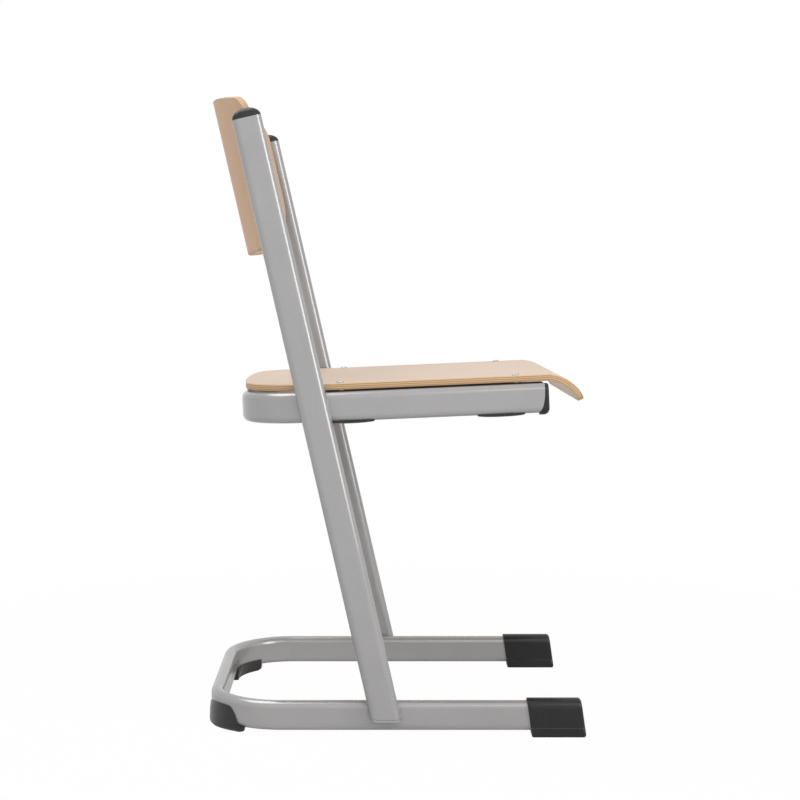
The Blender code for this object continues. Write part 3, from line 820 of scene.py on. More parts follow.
@dataclass(frozen=True)
class WeldBead:
    """A short rippled bead along an upright's edge."""

    plan: ChairPlan
    radius: float = 0.0034
    offset: float = 0.0172
    sunk: float = 0.0012
    ripple: float = 0.07
    pitch: float = 0.0036
    bluntness: int = 8
    tip: float = 0.0004
    steps: int = 44
    sides: int = 14

    def draft(self, side: Side, forward: int, low: float, high: float) -> Draft:
        """Sweep the bead.

        Args:
            side: Side of the chair.
            forward: 1 for the upright's front edge, -1 for its rear edge.
            low: Lower end along the upright.
            high: Upper end along the upright.

        Returns:
            The mesh.
        """
        centre_y = self.plan.upright_inner + self.sunk
        rings: list[Ring] = []
        for step in range(self.steps + 1):
            share = step / self.steps
            along = low + (high - low) * share
            taper = math.sqrt(max(1 - (2 * share - 1) ** self.bluntness, self.tip))
            wave = 1 + self.ripple * math.sin(2 * math.pi * (along - low) / self.pitch)
            reach = self.radius * taper * wave
            ring: Ring = []
            for turn in range(self.sides):
                angle = 2 * math.pi * turn / self.sides
                x = forward * self.offset + reach * math.cos(angle)
                y = side.value * (centre_y + reach * math.sin(angle))
                ring.append((x, y, along))
            rings.append(ring)
        return solid(rings)


@dataclass(frozen=True)
class Base:
    """Floor runner with its front feet and rear glides."""

    plan: ChairPlan
    finishes: Finishes
    lift: float = 0.0071
    rear: float = -0.2450
    bend: float = 0.090
    foot_front: float = 0.2507
    foot_length: float = 0.0708
    foot_lean: float = 0.14
    foot_wall: float = 0.0035
    foot_top_wall: float = 0.003
    foot_end_wall: float = 0.0045
    foot_front_round: float = 0.004
    foot_front_steps: int = 8
    foot_rear_round: float = 0.0014
    foot_rear_steps: int = 4
    foot_sole_round: float = 0.002
    foot_sole_steps: int = 6
    foot_sole_height: float = 0.0118
    foot_sole_step: float = 0.001
    foot_arris_in: float = 0.0002
    foot_arris_down: float = 0.0003
    foot_crown_steps: int = 12
    glide_wall: float = 0.002
    glide_fit: float = 0.0005
    glide_start_x: float = -0.1948
    glide_tip_top: float = 0.0085
    glide_lip_top: float = 0.0105
    glide_peak_top: float = 0.0338
    glide_end_top: float = 0.0225
    glide_inner_top: float = 0.0160
    glide_rise: Pair = (math.radians(35.3), math.radians(46.5))
    glide_curve: float = 2.4
    glide_sole_round: float = 0.0015
    glide_nose_round: float = 0.0085
    glide_nose: Pair = (math.radians(62), math.radians(40))
    glide_edge: float = 0.001
    glide_taper: float = 0.002
    glide_tip: float = 0.012
    glide_tip_cut: float = 0.003
    glide_tip_lift: float = 0.003
    glide_steps: int = 90
    glide_round_steps: int = 8
    glide_inner_steps: int = 10
    glide_outer_steps: int = 14
    glide_side_steps: int = 4

    @property
    def foot_top(self) -> float:
        """Height of the feet."""
        return self.lift + self.plan.tube.height + self.plan.clear + self.foot_top_wall

    @property
    def front(self) -> float:
        """X of the runner's front ends, inside the feet."""
        return self.foot_front - self.foot_lean * self.foot_top - self.foot_end_wall

    @property
    def middle(self) -> float:
        """Height of the runner's middle."""
        return self.lift + self.plan.tube.height / 2

    @property
    def runner(self) -> BentTube:
        """The runner's tube."""
        return BentTube(self.plan, self.front, self.rear, self.bend, self.middle)

    def build(self) -> None:
        """Build the runner, feet and glides."""
        self.runner.draft().piece("runner_tube", self.finishes.coat, ON_FLOOR, "base_runner")
        for side in Side:
            self.build_foot(side)
            self.build_glide(side)

    def foot_section(self, inset: float) -> Outline:
        """Outline of a foot as (across, up) pairs.

        Args:
            inset: How far the outline is drawn in.

        Returns:
            The points, from the middle of the sole round to the start.
        """
        half = self.plan.tube.radius + self.plan.clear + self.foot_wall
        upper = half - self.foot_sole_step - inset
        lower = half - inset
        corner = max(self.foot_sole_round - inset, self.foot_sole_step)
        right: Outline = []
        for angle in quarter(self.foot_sole_steps):
            across = lower - corner + corner * math.sin(angle)
            right.append((across, inset + corner * (1 - math.cos(angle))))
        right.append((lower, self.foot_sole_height - self.foot_arris_down))
        right.append((lower - self.foot_arris_in, self.foot_sole_height))
        right.append((upper, self.foot_sole_height + self.foot_sole_step))
        right.append((upper, self.foot_sole_height + 2 * self.foot_sole_step))
        shoulder = self.foot_top - inset - upper
        right.append((upper, shoulder - self.plan.tube.support))
        for angle in quarter(self.foot_crown_steps)[:-1]:
            right.append((upper * math.cos(angle), shoulder + upper * math.sin(angle)))
        top = [(0.0, self.foot_top - inset)]
        return right + top + [(-across, up) for across, up in reversed(right)]

    def pocket_section(self, outer: Outline) -> Outline:
        """Points of the foot's pocket in the directions of an outline's points.

        Args:
            outer: Outline of the foot.

        Returns:
            One pocket point for each outline point.
        """
        radius = self.plan.tube.radius + self.plan.clear
        straight = self.plan.tube.height / 2 - self.plan.tube.radius
        points: Outline = []
        for across, up in outer:
            rise = up - self.middle
            flat = radius / max(abs(across), TINY)
            if abs(rise) * flat <= straight:
                points.append((across * flat, self.middle + rise * flat))
                continue
            length = math.hypot(across, rise)
            lean = abs(rise) / length
            reach = straight * lean + math.sqrt(radius**2 - straight**2 * (1 - lean**2))
            points.append((across / length * reach, self.middle + rise / length * reach))
        return points

    def build_foot(self, side: Side) -> None:
        """Build a leaning sleeve foot with its pocket.

        Args:
            side: Side of the chair.
        """
        rear = self.foot_front - self.foot_length
        stations: list[Pair] = []
        for angle in quarter(self.foot_rear_steps):
            along = rear + self.foot_rear_round * (1 - math.cos(angle))
            stations.append((along, self.foot_rear_round * (1 - math.sin(angle))))
        for angle in quarter(self.foot_front_steps):
            along = self.foot_front - self.foot_front_round * (1 - math.sin(angle))
            stations.append((along, self.foot_front_round * (1 - math.cos(angle))))
        y = side.value * self.plan.leg_y
        pocket = self.pocket_section(self.foot_section(self.foot_rear_round))
        inner = [(self.front + self.plan.clear, y + across, up) for across, up in pocket]
        mouth = [(rear - self.foot_lean * up, y + across, up) for across, up in pocket]
        rings = [inner, mouth]
        for along, inset in stations:
            section = self.foot_section(inset)
            rings.append([(along - self.foot_lean * up, y + across, up) for across, up in section])
        foot = solid(rings)
        foot.piece("foot_sleeve_" + side.word, self.finishes.black, ON_FLOOR, "front_foot_" + side.word)

    @property
    def glide_start(self) -> float:
        """Angle round the bend at which a glide's outer wall starts."""
        return math.asin((self.runner.bend_x - self.glide_start_x) / (self.bend + self.plan.tube.radius))

    def glide_top(self, angle: float) -> float:
        """Height of a glide's outer wall.

        Args:
            angle: Angle round the bend.

        Returns:
            The height above the floor.
        """
        first, last = self.glide_rise
        if angle <= first:
            share = (angle - self.glide_start) / (first - self.glide_start)
            return self.glide_tip_top + (self.glide_lip_top - self.glide_tip_top) * share
        if angle < last:
            share = ((last - angle) / (last - first)) ** self.glide_curve
            return self.glide_peak_top + (self.glide_lip_top - self.glide_peak_top) * share
        share = ((angle - last) / (math.pi / 2 - last)) ** self.glide_curve
        return self.glide_peak_top + (self.glide_end_top - self.glide_peak_top) * share

    def saddle(self, height: float) -> float:
        """Half-width of the runner with its clearance at a height in its lower part.

        Args:
            height: Height above the floor.

        Returns:
            The half-width.
        """
        radius = self.plan.tube.radius + self.glide_fit
        below = max(self.lift + self.plan.tube.radius - height, 0.0)
        return math.sqrt(max(radius * radius - below * below, 0.0))

    def glide_section(self, angle: float) -> Outline:
        """Outline of a glide as (outward, up) pairs.

        Args:
            angle: Angle round the bend.

        Returns:
            The points, in order round the section.
        """
        wall_top = self.glide_top(angle)
        outer = self.plan.tube.radius + self.glide_fit + self.glide_wall
        from_tip = (self.bend + self.plan.tube.radius) * (angle - self.glide_start)
        short = max(1 - from_tip / self.glide_tip, 0.0)
        side = outer - (self.glide_wall + self.glide_tip_cut) * (1 - math.sqrt(1 - short * short))
        lift = self.glide_tip_lift * short * short
        first, last = self.glide_nose
        nose = min(max((first - angle) / (first - last), 0.0), 1.0)
        corner = self.glide_sole_round + (self.glide_nose_round - self.glide_sole_round) * nose
        corner = min(corner, wall_top - lift - self.glide_edge)
        points: Outline = []
        for turn in quarter(self.glide_round_steps):
            points.append((side - corner + corner * math.cos(turn), lift + corner * (1 - math.sin(turn))))
        inner = self.glide_sole_round
        for turn in quarter(self.glide_round_steps):
            points.append((-outer + inner - inner * math.sin(turn), lift + inner * (1 - math.cos(turn))))
        points.append((-outer, self.glide_inner_top - self.glide_edge / 2))
        points.append((-outer + self.glide_edge / 2, self.glide_inner_top))
        floor = self.lift - self.glide_fit
        for turn in quarter(self.glide_inner_steps)[:-1]:
            height = floor + (self.glide_inner_top - floor) * (1 - math.sin(turn))
            points.append((-self.saddle(height), height))
        points.append((0.0, floor))
        for turn in quarter(self.glide_outer_steps)[1:]:
            height = floor + (wall_top - floor) * (1 - math.cos(turn))
            points.append((self.saddle(height), height))
        lean = self.glide_taper * (wall_top - self.glide_tip_top) / (self.glide_peak_top - self.glide_tip_top)
        brim = wall_top - self.glide_edge / 2
        inside = self.saddle(wall_top) + self.plan.clear
        points.append((max(side - lean - self.glide_edge, inside), wall_top))
        for step in range(self.glide_side_steps):
            share = step / self.glide_side_steps
            points.append((side - lean * (1 - share) ** 2, brim + (lift + corner - brim) * share))
        return points

    def build_glide(self, side: Side) -> None:
        """Build a saddle glide under a rear bend.

        Args:
            side: Side of the chair.
        """
        bend_x = self.runner.bend_x
        bend_y = self.plan.leg_y - self.bend
        depth = bend_x - self.glide_start_x
        rings: list[Ring] = []
        for step in range(self.glide_steps + 1):
            share = step / self.glide_steps
            section = self.glide_section(self.glide_start + (math.pi / 2 - self.glide_start) * share)
            ring: Ring = []
            for outward, up in section:
                reach = self.bend + outward
                start = math.asin(depth / reach)
                angle = start + (math.pi / 2 - start) * share
                y = bend_y + reach * math.cos(angle)
                ring.append((bend_x - reach * math.sin(angle), side.value * y, up))
            rings.append(ring)
        glide = solid(rings)
        glide.piece("glide_saddle_" + side.word, self.finishes.grey, ON_FLOOR, "rear_glide_" + side.word)


def between(first: Pair, last: Pair, parts: int) -> Outline:
    """Points that divide a line into equal parts, without its ends.

    Args:
        first: Start of the line.
        last: End of the line.
        parts: Number of parts.

    Returns:
        The points.
    """
    points: Outline = []
    for step in range(1, parts):
        share = step / parts
        points.append((first[0] + (last[0] - first[0]) * share, first[1] + (last[1] - first[1]) * share))
    return points


@dataclass(frozen=True)
class PanelShape:
    """Plywood panel between two edge lines, bent by a mapping."""

    thickness: float
    edges: Callable[[float], tuple[Outline, Outline]]
    rows: int
    arris: float = 0.0013
    arris_steps: int = 5
    support: float = 0.002

    def outline(self, inset: float) -> Outline:
        """Outline of the panel as (along, across) pairs.

        Args:
            inset: How far the outline is drawn in.

        Returns:
            The upper edge, the last end, the lower edge backwards and the first end.
        """
        upper, lower = self.edges(inset)
        last_end = between(upper[-1], lower[-1], self.rows)
        first_end = between(lower[0], upper[0], self.rows)
        return [*upper, *last_end, *reversed(lower), *first_end]

    def layers(self) -> list[Pair]:
        """Inset and depth of each ring of verts, from the upper face to the lower.

        Returns:
            The pairs.
        """
        upper = [(self.arris + self.support, 0.0)]
        for angle in quarter(self.arris_steps):
            upper.append((self.arris * (1 - math.sin(angle)), self.arris * (1 - math.cos(angle))))
        lower = [(inset, self.thickness - depth) for inset, depth in reversed(upper)]
        return upper + lower

    def draft(self, bend: Bend) -> Draft:
        """Build the panel.

        Args:
            bend: Gives the point for a length along, a distance across and a depth.

        Returns:
            The mesh, with faces and edge in their own slots.
        """
        draft = Draft()
        layers = self.layers()
        flats = [self.outline(inset) for inset, _ in layers]
        rings = []
        for flat, (_, depth) in zip(flats, layers):
            rings.append(draft.ring(bend(along, across, depth) for along, across in flat))
        lengths = self.perimeter(flats[len(flats) // 2])
        count = len(flats[0])
        for row in range(len(rings) - 1):
            top, low = layers[row][1], layers[row + 1][1]
            for point in range(count):
                after = (point + 1) % count
                corners = ((row, point), (row, after), (row + 1, after), (row + 1, point))
                verts = [rings[line][spot] for line, spot in corners]
                if top == low:
                    draft.face(verts, [flats[line][spot] for line, spot in corners], FACE)
                    continue
                near, far = lengths[point], lengths[point + 1]
                draft.face(verts, ((near, top), (far, top), (far, low), (near, low)), EDGE)
        for row, depth in ((0, 0.0), (-1, self.thickness)):
            self.fill(draft, rings[row], flats[row], lambda along, across: bend(along, across, depth))
        return draft

    def fill(self, draft: Draft, ring: Verts, flat: Outline, bend: Callable[[float, float], Triple]) -> None:
        """Fill one face of the panel with rows of quads.

        Args:
            draft: The mesh to add to.
            ring: Verts round the face.
            flat: Their (along, across) pairs.
            bend: Gives the point for a length along and a distance across.
        """
        inner = self.rows - 1
        count = len(flat) // 2 - inner
        opposite = [count + inner + index for index in range(count)][::-1]
        lines = [[(ring[index], flat[index]) for index in range(count)]]
        for row in range(1, self.rows):
            line = [(ring[-row], flat[-row])]
            for index in range(1, count - 1):
                spot = between(flat[index], flat[opposite[index]], self.rows)[row - 1]
                line.append((draft.ring([bend(*spot)])[0], spot))
            line.append((ring[count + row - 1], flat[count + row - 1]))
            lines.append(line)
        lines.append([(ring[index], flat[index]) for index in opposite])
        for above, below in zip(lines, lines[1:]):
            for point in range(count - 1):
                corners = (above[point], above[point + 1], below[point + 1], below[point])
                draft.face([vert for vert, _ in corners], [spot for _, spot in corners], FACE)

    @staticmethod
    def perimeter(flat: Outline) -> list[float]:
        """Running length round an outline.

        Args:
            flat: The outline.

        Returns:
            The length up to each point, with the whole length last.
        """
        lengths = [0.0]
        for first, second in zip(flat, [*flat[1:], flat[0]]):
            lengths.append(lengths[-1] + math.dist(first, second))
        return lengths


@dataclass(frozen=True)
class Rivet:
    """Rivet with a domed head and a formed tail."""

    radius: float = 0.0025
    head_radius: float = 0.0048
    head: float = 0.0022
    tail_radius: float = 0.004
    tail: float = 0.0015
    edge: float = 0.0003
    dome_turn: float = math.radians(86)
    dome_steps: int = 11
    sides: int = 40

    def profile(self, grip: float) -> Outline:
        """Profile of the rivet from its tail to the top of its head.

        Args:
            grip: Length between head and tail.

        Returns:
            (radius, height) pairs.
        """
        points = [
            (self.tail_radius - self.edge, -grip - self.tail),
            (self.tail_radius, -grip - self.tail + self.edge),
            (self.tail_radius, -grip),
            (self.radius, -grip),
            (self.radius, 0.0),
            (self.head_radius, 0.0),
        ]
        for step in range(self.dome_steps + 1):
            angle = self.dome_turn * step / self.dome_steps
            height = self.edge + (self.head - self.edge) * math.sin(angle)
            points.append((self.head_radius * math.cos(angle), height))
        return points

    def draft(self, grip: float, place: Vector, axis: Vector) -> Draft:
        """Turn the rivet.

        Args:
            grip: Length between head and tail.
            place: Where the head's lower face lies.
            axis: Direction from the tail to the head.

        Returns:
            The mesh.
        """
        turn = axis.to_track_quat("Z", "Y")
        rings: list[Ring] = []
        for radius, height in self.profile(grip):
            ring: Ring = []
            for step in range(self.sides):
                angle = 2 * math.pi * step / self.sides
                spot = Vector((radius * math.cos(angle), radius * math.sin(angle), height))
                ring.append(tuple(place + turn @ spot))
            rings.append(ring)
        return solid(rings)


@dataclass(frozen=True)
class Seat:
    """Seat frame with its plugs and pads, and the plywood seat on its strips."""

    plan: ChairPlan
    finishes: Finishes
    rivet: Rivet
    rear: float = -0.2034
    front: float = 0.1967
    tube_bend: float = 0.081
    end_sweep: float = 0.0073
    rail_swell: float = 0.0021
    plug_head: float = 0.0051
    plug_drop: float = 0.0025
    plug_stem: float = 0.020
    plug_round: float = 0.0025
    plug_steps: int = 6
    plug_cut_back: float = 0.004
    plug_cut_height: float = 0.009
    pad_length: float = 0.062
    pad_drop: float = 0.0028
    pad_edge: float = 0.0006
    pad_wrap: float = math.radians(34)
    pad_steps: int = 40
    pad_wrap_steps: int = 20
    gap: float = 0.0022
    side_inset: float = 0.0153
    rear_inset: float = 0.0006
    rear_bow: float = 1.2
    rear_bow_steps: int = 8
    rear_corner: float = 0.075
    rear_corner_steps: int = 28
    rear_curl: float = 0.150
    rear_curl_steps: int = 8
    rear_rise: float = 0.0028
    front_corner: float = 0.020
    front_corner_steps: int = 18
    roll_radius: float = 0.055
    roll_turn: float = math.radians(68.8)
    roll_steps: int = 24
    roll_support: float = 0.004
    plug_under_roll: float = 0.0026
    rows: int = 2
    strip_sheet: float = 0.0025
    rivet_inset: float = 0.016
    pad_x: dict[End, float] = field(default_factory=lambda: {End.FRONT: 0.1390, End.REAR: -0.0570})
    rivet_x: dict[End, float] = field(default_factory=lambda: {End.FRONT: 0.1617, End.REAR: -0.0693})

    @property
    def half(self) -> float:
        """Half-width of the seat."""
        return self.plan.upright_inner - self.side_inset

    @property
    def rail_middle(self) -> float:
        """Z of the rails' middle in the seat's frame."""
        return -self.plan.tube.height / 2

    @property
    def panel_rear(self) -> float:
        """X of the seat's rear edge."""
        return self.rear + self.rear_inset

    @property
    def roll_start(self) -> float:
        """X where the seat's front roll starts."""
        return self.front + self.plug_head - self.plug_under_roll

    @property
    def flat(self) -> float:
        """Length of the seat up to its front roll."""
        return self.roll_start - self.panel_rear

    @property
    def length(self) -> float:
        """Whole length of the seat along its upper face."""
        return self.flat + self.roll_radius * self.roll_turn

    def build(self) -> None:
        """Build the seat frame, seat, plugs, pads and rivets."""
        rail = BentTube(
            self.plan,
            self.front,
            self.rear,
            self.tube_bend,
            self.rail_middle,
            self.end_sweep,
            self.rail_swell,
        )
        rail.draft().piece("seat_rails", self.finishes.coat, self.plan.seat_frame, "seat_frame")
        seat = PanelShape(self.plan.ply, self.panel_edges, self.rows).draft(self.bend)
        seat.piece("seat_plywood", self.finishes.seat_ply, self.plan.seat_frame, "seat_panel")
        for side in Side:
            self.build_plug(side)
            for end in End:
                self.build_pad(side, end)
                self.build_rivet(side, end)

    def bend(self, along: float, across: float, depth: float) -> Triple:
        """Point of the seat.

        Args:
            along: Length from its rear edge.
            across: Distance from its middle line.
            depth: Depth under its upper face.

        Returns:
            The point in the seat's frame.
        """
        top = self.gap + self.plan.ply
        if along < self.rear_curl:
            radius = self.rear_curl**2 / (2 * self.rear_rise)
            angle = (self.rear_curl - along) / radius
            x = self.panel_rear + self.rear_curl - (radius + depth) * math.sin(angle)
            return (x, across, top + radius - (radius + depth) * math.cos(angle))
        if along <= self.flat:
            return (self.panel_rear + along, across, top - depth)
        angle = (along - self.flat) / self.roll_radius
        reach = self.roll_radius - depth
        x = self.roll_start + reach * math.sin(angle)
        return (x, across, top - self.roll_radius + reach * math.cos(angle))

    def panel_edges(self, inset: float) -> tuple[Outline, Outline]:
        """The seat's left and right edge as (along, across) pairs.

        Args:
            inset: How far they are drawn in.

        Returns:
            Both edges from the rear to the front.
        """
        left: Outline = []
        side = self.half - self.rear_corner
        centres = self.rear_bow - self.rear_corner
        turn = math.asin(side / centres)
        corner_end = self.rear_bow - centres * math.cos(turn)
        reach = self.rear_bow - inset
        for step in range(1, self.rear_bow_steps + 1):
            angle = turn * step / self.rear_bow_steps
            left.append((self.rear_bow - reach * math.cos(angle), reach * math.sin(angle)))
        reach = self.rear_corner - inset
        for share in quarter(self.rear_corner_steps)[1:]:
            angle = turn + (1 - 2 * turn / math.pi) * share
            left.append((corner_end - reach * math.cos(angle), side + reach * math.sin(angle)))
        for step in range(1, self.rear_curl_steps + 1):
            along = corner_end + (self.rear_curl - corner_end) * step / self.rear_curl_steps
            left.append((along, self.half - inset))
        left.append((self.flat - self.roll_support, self.half - inset))
        roll = self.length - self.front_corner - self.flat
        for step in range(self.roll_steps):
            left.append((self.flat + roll * step / self.roll_steps, self.half - inset))
        reach = self.front_corner - inset
        side = self.half - self.front_corner
        for angle in quarter(self.front_corner_steps):
            along = self.length - self.front_corner + reach * math.sin(angle)
            left.append((along, side + reach * math.cos(angle)))
        return left, [(along, -across) for along, across in left]

    def build_plug(self, side: Side) -> None:
        """Build a plug in a front end of the seat frame.

        Args:
            side: Side of the chair.
        """
        tube = self.plan.tube
        y = side.value * self.plan.leg_y
        front = self.front + self.plug_head
        stem = tube.outline(tube.wall + self.plan.clear)
        head = tube.outline(0.0, self.plug_drop)
        rings: list[Ring] = []
        for outline, shift in ((stem, -self.plug_stem), (stem, self.plan.clear), (head, self.plan.clear)):
            ring: Ring = []
            for across, up in outline:
                setback = tube.setback(self.end_sweep, up)
                ring.append((self.front + shift - setback, y + across, self.rail_middle + up))
            rings.append(ring)
        lowest = self.rail_middle - tube.height / 2 - self.plug_drop
        for angle in quarter(self.plug_steps):
            inset = self.plug_round * (1 - math.cos(angle))
            ring = []
            for across, up in tube.outline(inset, self.plug_drop):
                z = self.rail_middle + up
                low = max(0.0, 1 - (z - lowest) / self.plug_cut_height)
                x = front - self.plug_round * (1 - math.sin(angle)) - self.plug_cut_back * low * low
                ring.append((x, y + across, z))
            rings.append(ring)
        node = "seat_frame_plug_" + side.word
        solid(rings).piece("rail_plug_" + side.word, self.finishes.black, self.plan.seat_frame, node)

    def build_pad(self, side: Side, end: End) -> None:
        """Build a domed pad under the seat frame.

        Args:
            side: Side of the chair.
            end: End of the seat.
        """
        tube = self.plan.tube
        inner = tube.radius + self.plan.clear
        centre = -tube.height + tube.radius
        steps = self.pad_wrap_steps
        turns = [self.pad_wrap * (2 * step / steps - 1) for step in range(steps + 1)]
        rings: list[Ring] = []
        for step in range(self.pad_steps + 1):
            along = -math.cos(math.pi * step / self.pad_steps)
            swell = (self.pad_drop - self.pad_edge) * math.sqrt(max(1 - along * along, 0.0))
            outline = [(inner * math.sin(turn), centre - inner * math.cos(turn)) for turn in turns]
            for turn in reversed(turns):
                reach = inner + self.pad_edge + swell * math.cos(turn)
                outline.append((reach * math.sin(turn), centre - reach * math.cos(turn)))
            x = self.pad_x[end] + self.pad_length / 2 * along
            rings.append([(x, side.value * self.plan.leg_y + across, up) for across, up in outline])
        where = end.value + "_" + side.word
        pad = solid(rings)
        pad.piece("rail_pad_" + where, self.finishes.grey, self.plan.seat_frame, "table_pad_" + where)

    def build_rivet(self, side: Side, end: End) -> None:
        """Build a rivet through the seat and its strip.

        Args:
            side: Side of the chair.
            end: End of the seat.
        """
        clear = self.plan.clear
        grip = clear + self.plan.ply + self.gap + self.strip_sheet + clear
        y = side.value * (self.half - self.rivet_inset)
        place = Vector((self.rivet_x[end], y, self.gap + self.plan.ply + clear))
        where = end.value + "_" + side.word
        rivet = self.rivet.draft(grip, place, Vector((0.0, 0.0, 1.0)))
        rivet.piece("seat_fixing_" + where, self.finishes.steel, self.plan.seat_frame, "seat_rivet_" + where)


@dataclass(frozen=True)
class Back:
    """Raked uprights with their caps and plates, and the plywood back."""

    plan: ChairPlan
    finishes: Finishes
    rivet: Rivet
    bottom: float = 0.0268
    top: float = 0.8029
    end_plate: float = 0.0035
    end_plate_edge: float = 0.0006
    cap_dome: float = 0.0125
    cap_stem: float = 0.022
    cap_turn: float = math.radians(88)
    cap_steps: int = 20
    height: float = 0.2202
    rise: float = 0.0515
    radius: float = 0.413
    end_gap: float = 0.0023
    arch: float = 0.910
    upper_corner: float = 0.036
    lower_corner: float = 0.080
    corner_steps: int = 24
    edge_steps: int = 56
    rows: int = 14
    bracket_sheet: float = 0.0025
    bracket_below_top: float = 0.037
    bracket_spacing: float = 0.070
    rivet_inset: float = 0.017
    runner_weld: Pair = (0.0225, 0.0421)
    rail_weld: Pair = (0.4106, 0.4426)

    @property
    def half(self) -> float:
        """Half-width of the back."""
        return self.plan.upright_inner - self.end_gap

    @property
    def centre_x(self) -> float:
        """Forward distance of the back's centre of curvature from the uprights' axis."""
        return math.sqrt(self.radius**2 - self.half**2)

    @property
    def top_along(self) -> float:
        """Length of the uprights' axis up to their upper ends."""
        return self.top / math.cos(self.plan.rake)

    def build(self) -> None:
        """Build the uprights, plates, caps, welds, rivets and back."""
        for side in Side:
            self.build_upright(side)
            self.build_plate(side)
            self.build_cap(side)
            self.build_welds(side)
            for level in Level:
                self.build_rivet(side, level)
        back = PanelShape(self.plan.ply, self.panel_edges, self.rows).draft(self.bend)
        # The back takes the darker veneer copy, which paints the shade on its rear face
        back.piece("back_plywood", self.finishes.back_ply, self.plan.rake_frame, "back_panel")

    def level_ring(self, side: Side, outline: Outline, height: float) -> Ring:
        """Section of an upright that is cut level at a height above the floor."""
        y = side.value * self.plan.upright_y
        return [(along, y + across, self.plan.along_upright(height, along)) for across, along in outline]

    def square_ring(self, side: Side, outline: Outline, z: float) -> Ring:
        """Section that is cut square to an upright at a length along it."""
        y = side.value * self.plan.upright_y
        return [(along, y + across, z) for across, along in outline]

    def build_upright(self, side: Side) -> None:
        """Build a hollow raked tube.

        Args:
            side: Side of the chair.
        """
        skins: list[list[Ring]] = []
        for inset in (0.0, self.plan.tube.wall):
            outline = self.plan.tube.outline(inset)
            low = self.level_ring(side, outline, self.bottom)
            skins.append([low, self.square_ring(side, outline, self.top_along)])
        name = "upright_tube_" + side.word
        hollow(*skins).piece(name, self.finishes.coat, self.plan.rake_frame, "upright_" + side.word)

    def build_plate(self, side: Side) -> None:
        """Build the plate under an upright.

        Args:
            side: Side of the chair.
        """
        upper = self.bottom - self.plan.clear
        lower = upper - self.end_plate
        edge = self.end_plate_edge
        rings: list[Ring] = []
        for inset, height in ((edge, lower), (0.0, lower + edge), (0.0, upper - edge), (edge, upper)):
            rings.append(self.level_ring(side, self.plan.tube.outline(inset), height))
        node = "upright_end_plate_" + side.word
        solid(rings).piece("upright_plate_" + side.word, self.finishes.coat, self.plan.rake_frame, node)

    def build_cap(self, side: Side) -> None:
        """Build a domed plug in an upright's upper end.

        Args:
            side: Side of the chair.
        """
        tube = self.plan.tube
        base = self.top_along + self.plan.clear
        stem = tube.outline(tube.wall + self.plan.clear)
        full = tube.outline()
        rings = [self.square_ring(side, stem, z) for z in (self.top_along - self.cap_stem, base)]
        for step in range(self.cap_steps + 1):
            angle = self.cap_turn * step / self.cap_steps
            shrink = math.cos(angle)
            dome = [(across * shrink, along * shrink) for across, along in full]
            rings.append(self.square_ring(side, dome, base + self.cap_dome * math.sin(angle)))
        node = "upright_cap_" + side.word
        solid(rings).piece("upright_dome_" + side.word, self.finishes.grey, self.plan.rake_frame, node)

    def build_welds(self, side: Side) -> None:
        """Build the weld beads of an upright.

        Args:
            side: Side of the chair.
        """
        bead = WeldBead(self.plan)
        for word, span in (("runner", self.runner_weld), ("rail", self.rail_weld)):
            for edge, forward in (("front", 1), ("rear", -1)):
                x = forward * bead.offset
                low, high = (self.plan.along_upright(height, x) for height in span)
                name = f"weld_{word}_{edge}_{side.word}"
                bead.draft(side, forward, low, high).piece(name, self.finishes.coat, self.plan.rake_frame)

    def bend(self, along: float, across: float, depth: float) -> Triple:
        """Point of the back.

        Args:
            along: Length from its middle.
            across: Length along the uprights.
            depth: Depth behind its front face.

        Returns:
            The point in the uprights' frame.
        """
        angle = along / self.radius
        reach = self.radius - depth
        return (self.centre_x - reach * math.cos(angle), reach * math.sin(angle), across)

    def panel_edges(self, inset: float) -> tuple[Outline, Outline]:
        """The back's upper and lower edge as (along, across) pairs.

        Args:
            inset: How far they are drawn in.

        Returns:
            Both edges from the sitter's right to the left.
        """
        half_arc = self.radius * math.asin(self.half / self.radius)
        crown = self.top_along + self.rise

        arch_centre = crown - self.arch
        corner_along = half_arc - self.upper_corner
        tilt = math.asin(corner_along / (self.arch - self.upper_corner))
        corner_across = arch_centre + (self.arch - self.upper_corner) * math.cos(tilt)
        reach = self.upper_corner - inset
        upper_end: Outline = []
        for angle in quarter(self.corner_steps):
            turn = angle * (1 - 2 * tilt / math.pi)
            upper_end.append((corner_along + reach * math.cos(turn), corner_across + reach * math.sin(turn)))
        upper = [(-along, across) for along, across in upper_end]
        radius = self.arch - inset
        for step in range(1, self.edge_steps):
            turn = tilt * (2 * step / self.edge_steps - 1)
            upper.append((radius * math.sin(turn), arch_centre + radius * math.cos(turn)))
        upper += reversed(upper_end)

        foot = crown - self.height
        corner_along = half_arc - self.lower_corner
        corner_across = foot + self.lower_corner
        reach = self.lower_corner - inset
        lower_end: Outline = []
        for turn in quarter(self.corner_steps):
            lower_end.append((corner_along + reach * math.cos(turn), corner_across - reach * math.sin(turn)))
        lower = [(-along, across) for along, across in lower_end]
        lower += between((-corner_along, foot + inset), (corner_along, foot + inset), self.edge_steps)
        lower += reversed(lower_end)
        return upper, lower

    def build_rivet(self, side: Side, level: Level) -> None:
        """Build a rivet through the back and its bracket.

        Args:
            side: Side of the chair.
            level: Height of the fixing.
        """
        clear = self.plan.clear
        grip = clear + self.plan.ply + clear + self.bracket_sheet + clear
        angle = math.asin((self.half - self.rivet_inset) / self.radius)
        inward = Vector((math.cos(angle), -side.value * math.sin(angle), 0.0))
        z = self.top_along - self.bracket_below_top
        if level is Level.LOWER:
            z -= self.bracket_spacing
        place = Vector((self.centre_x, 0.0, z)) - (self.radius - self.plan.ply - clear) * inward
        where = level.value + "_" + side.word
        rivet = self.rivet.draft(grip, place, inward)
        rivet.piece("back_fixing_" + where, self.finishes.steel, self.plan.rake_frame, "back_rivet_" + where)


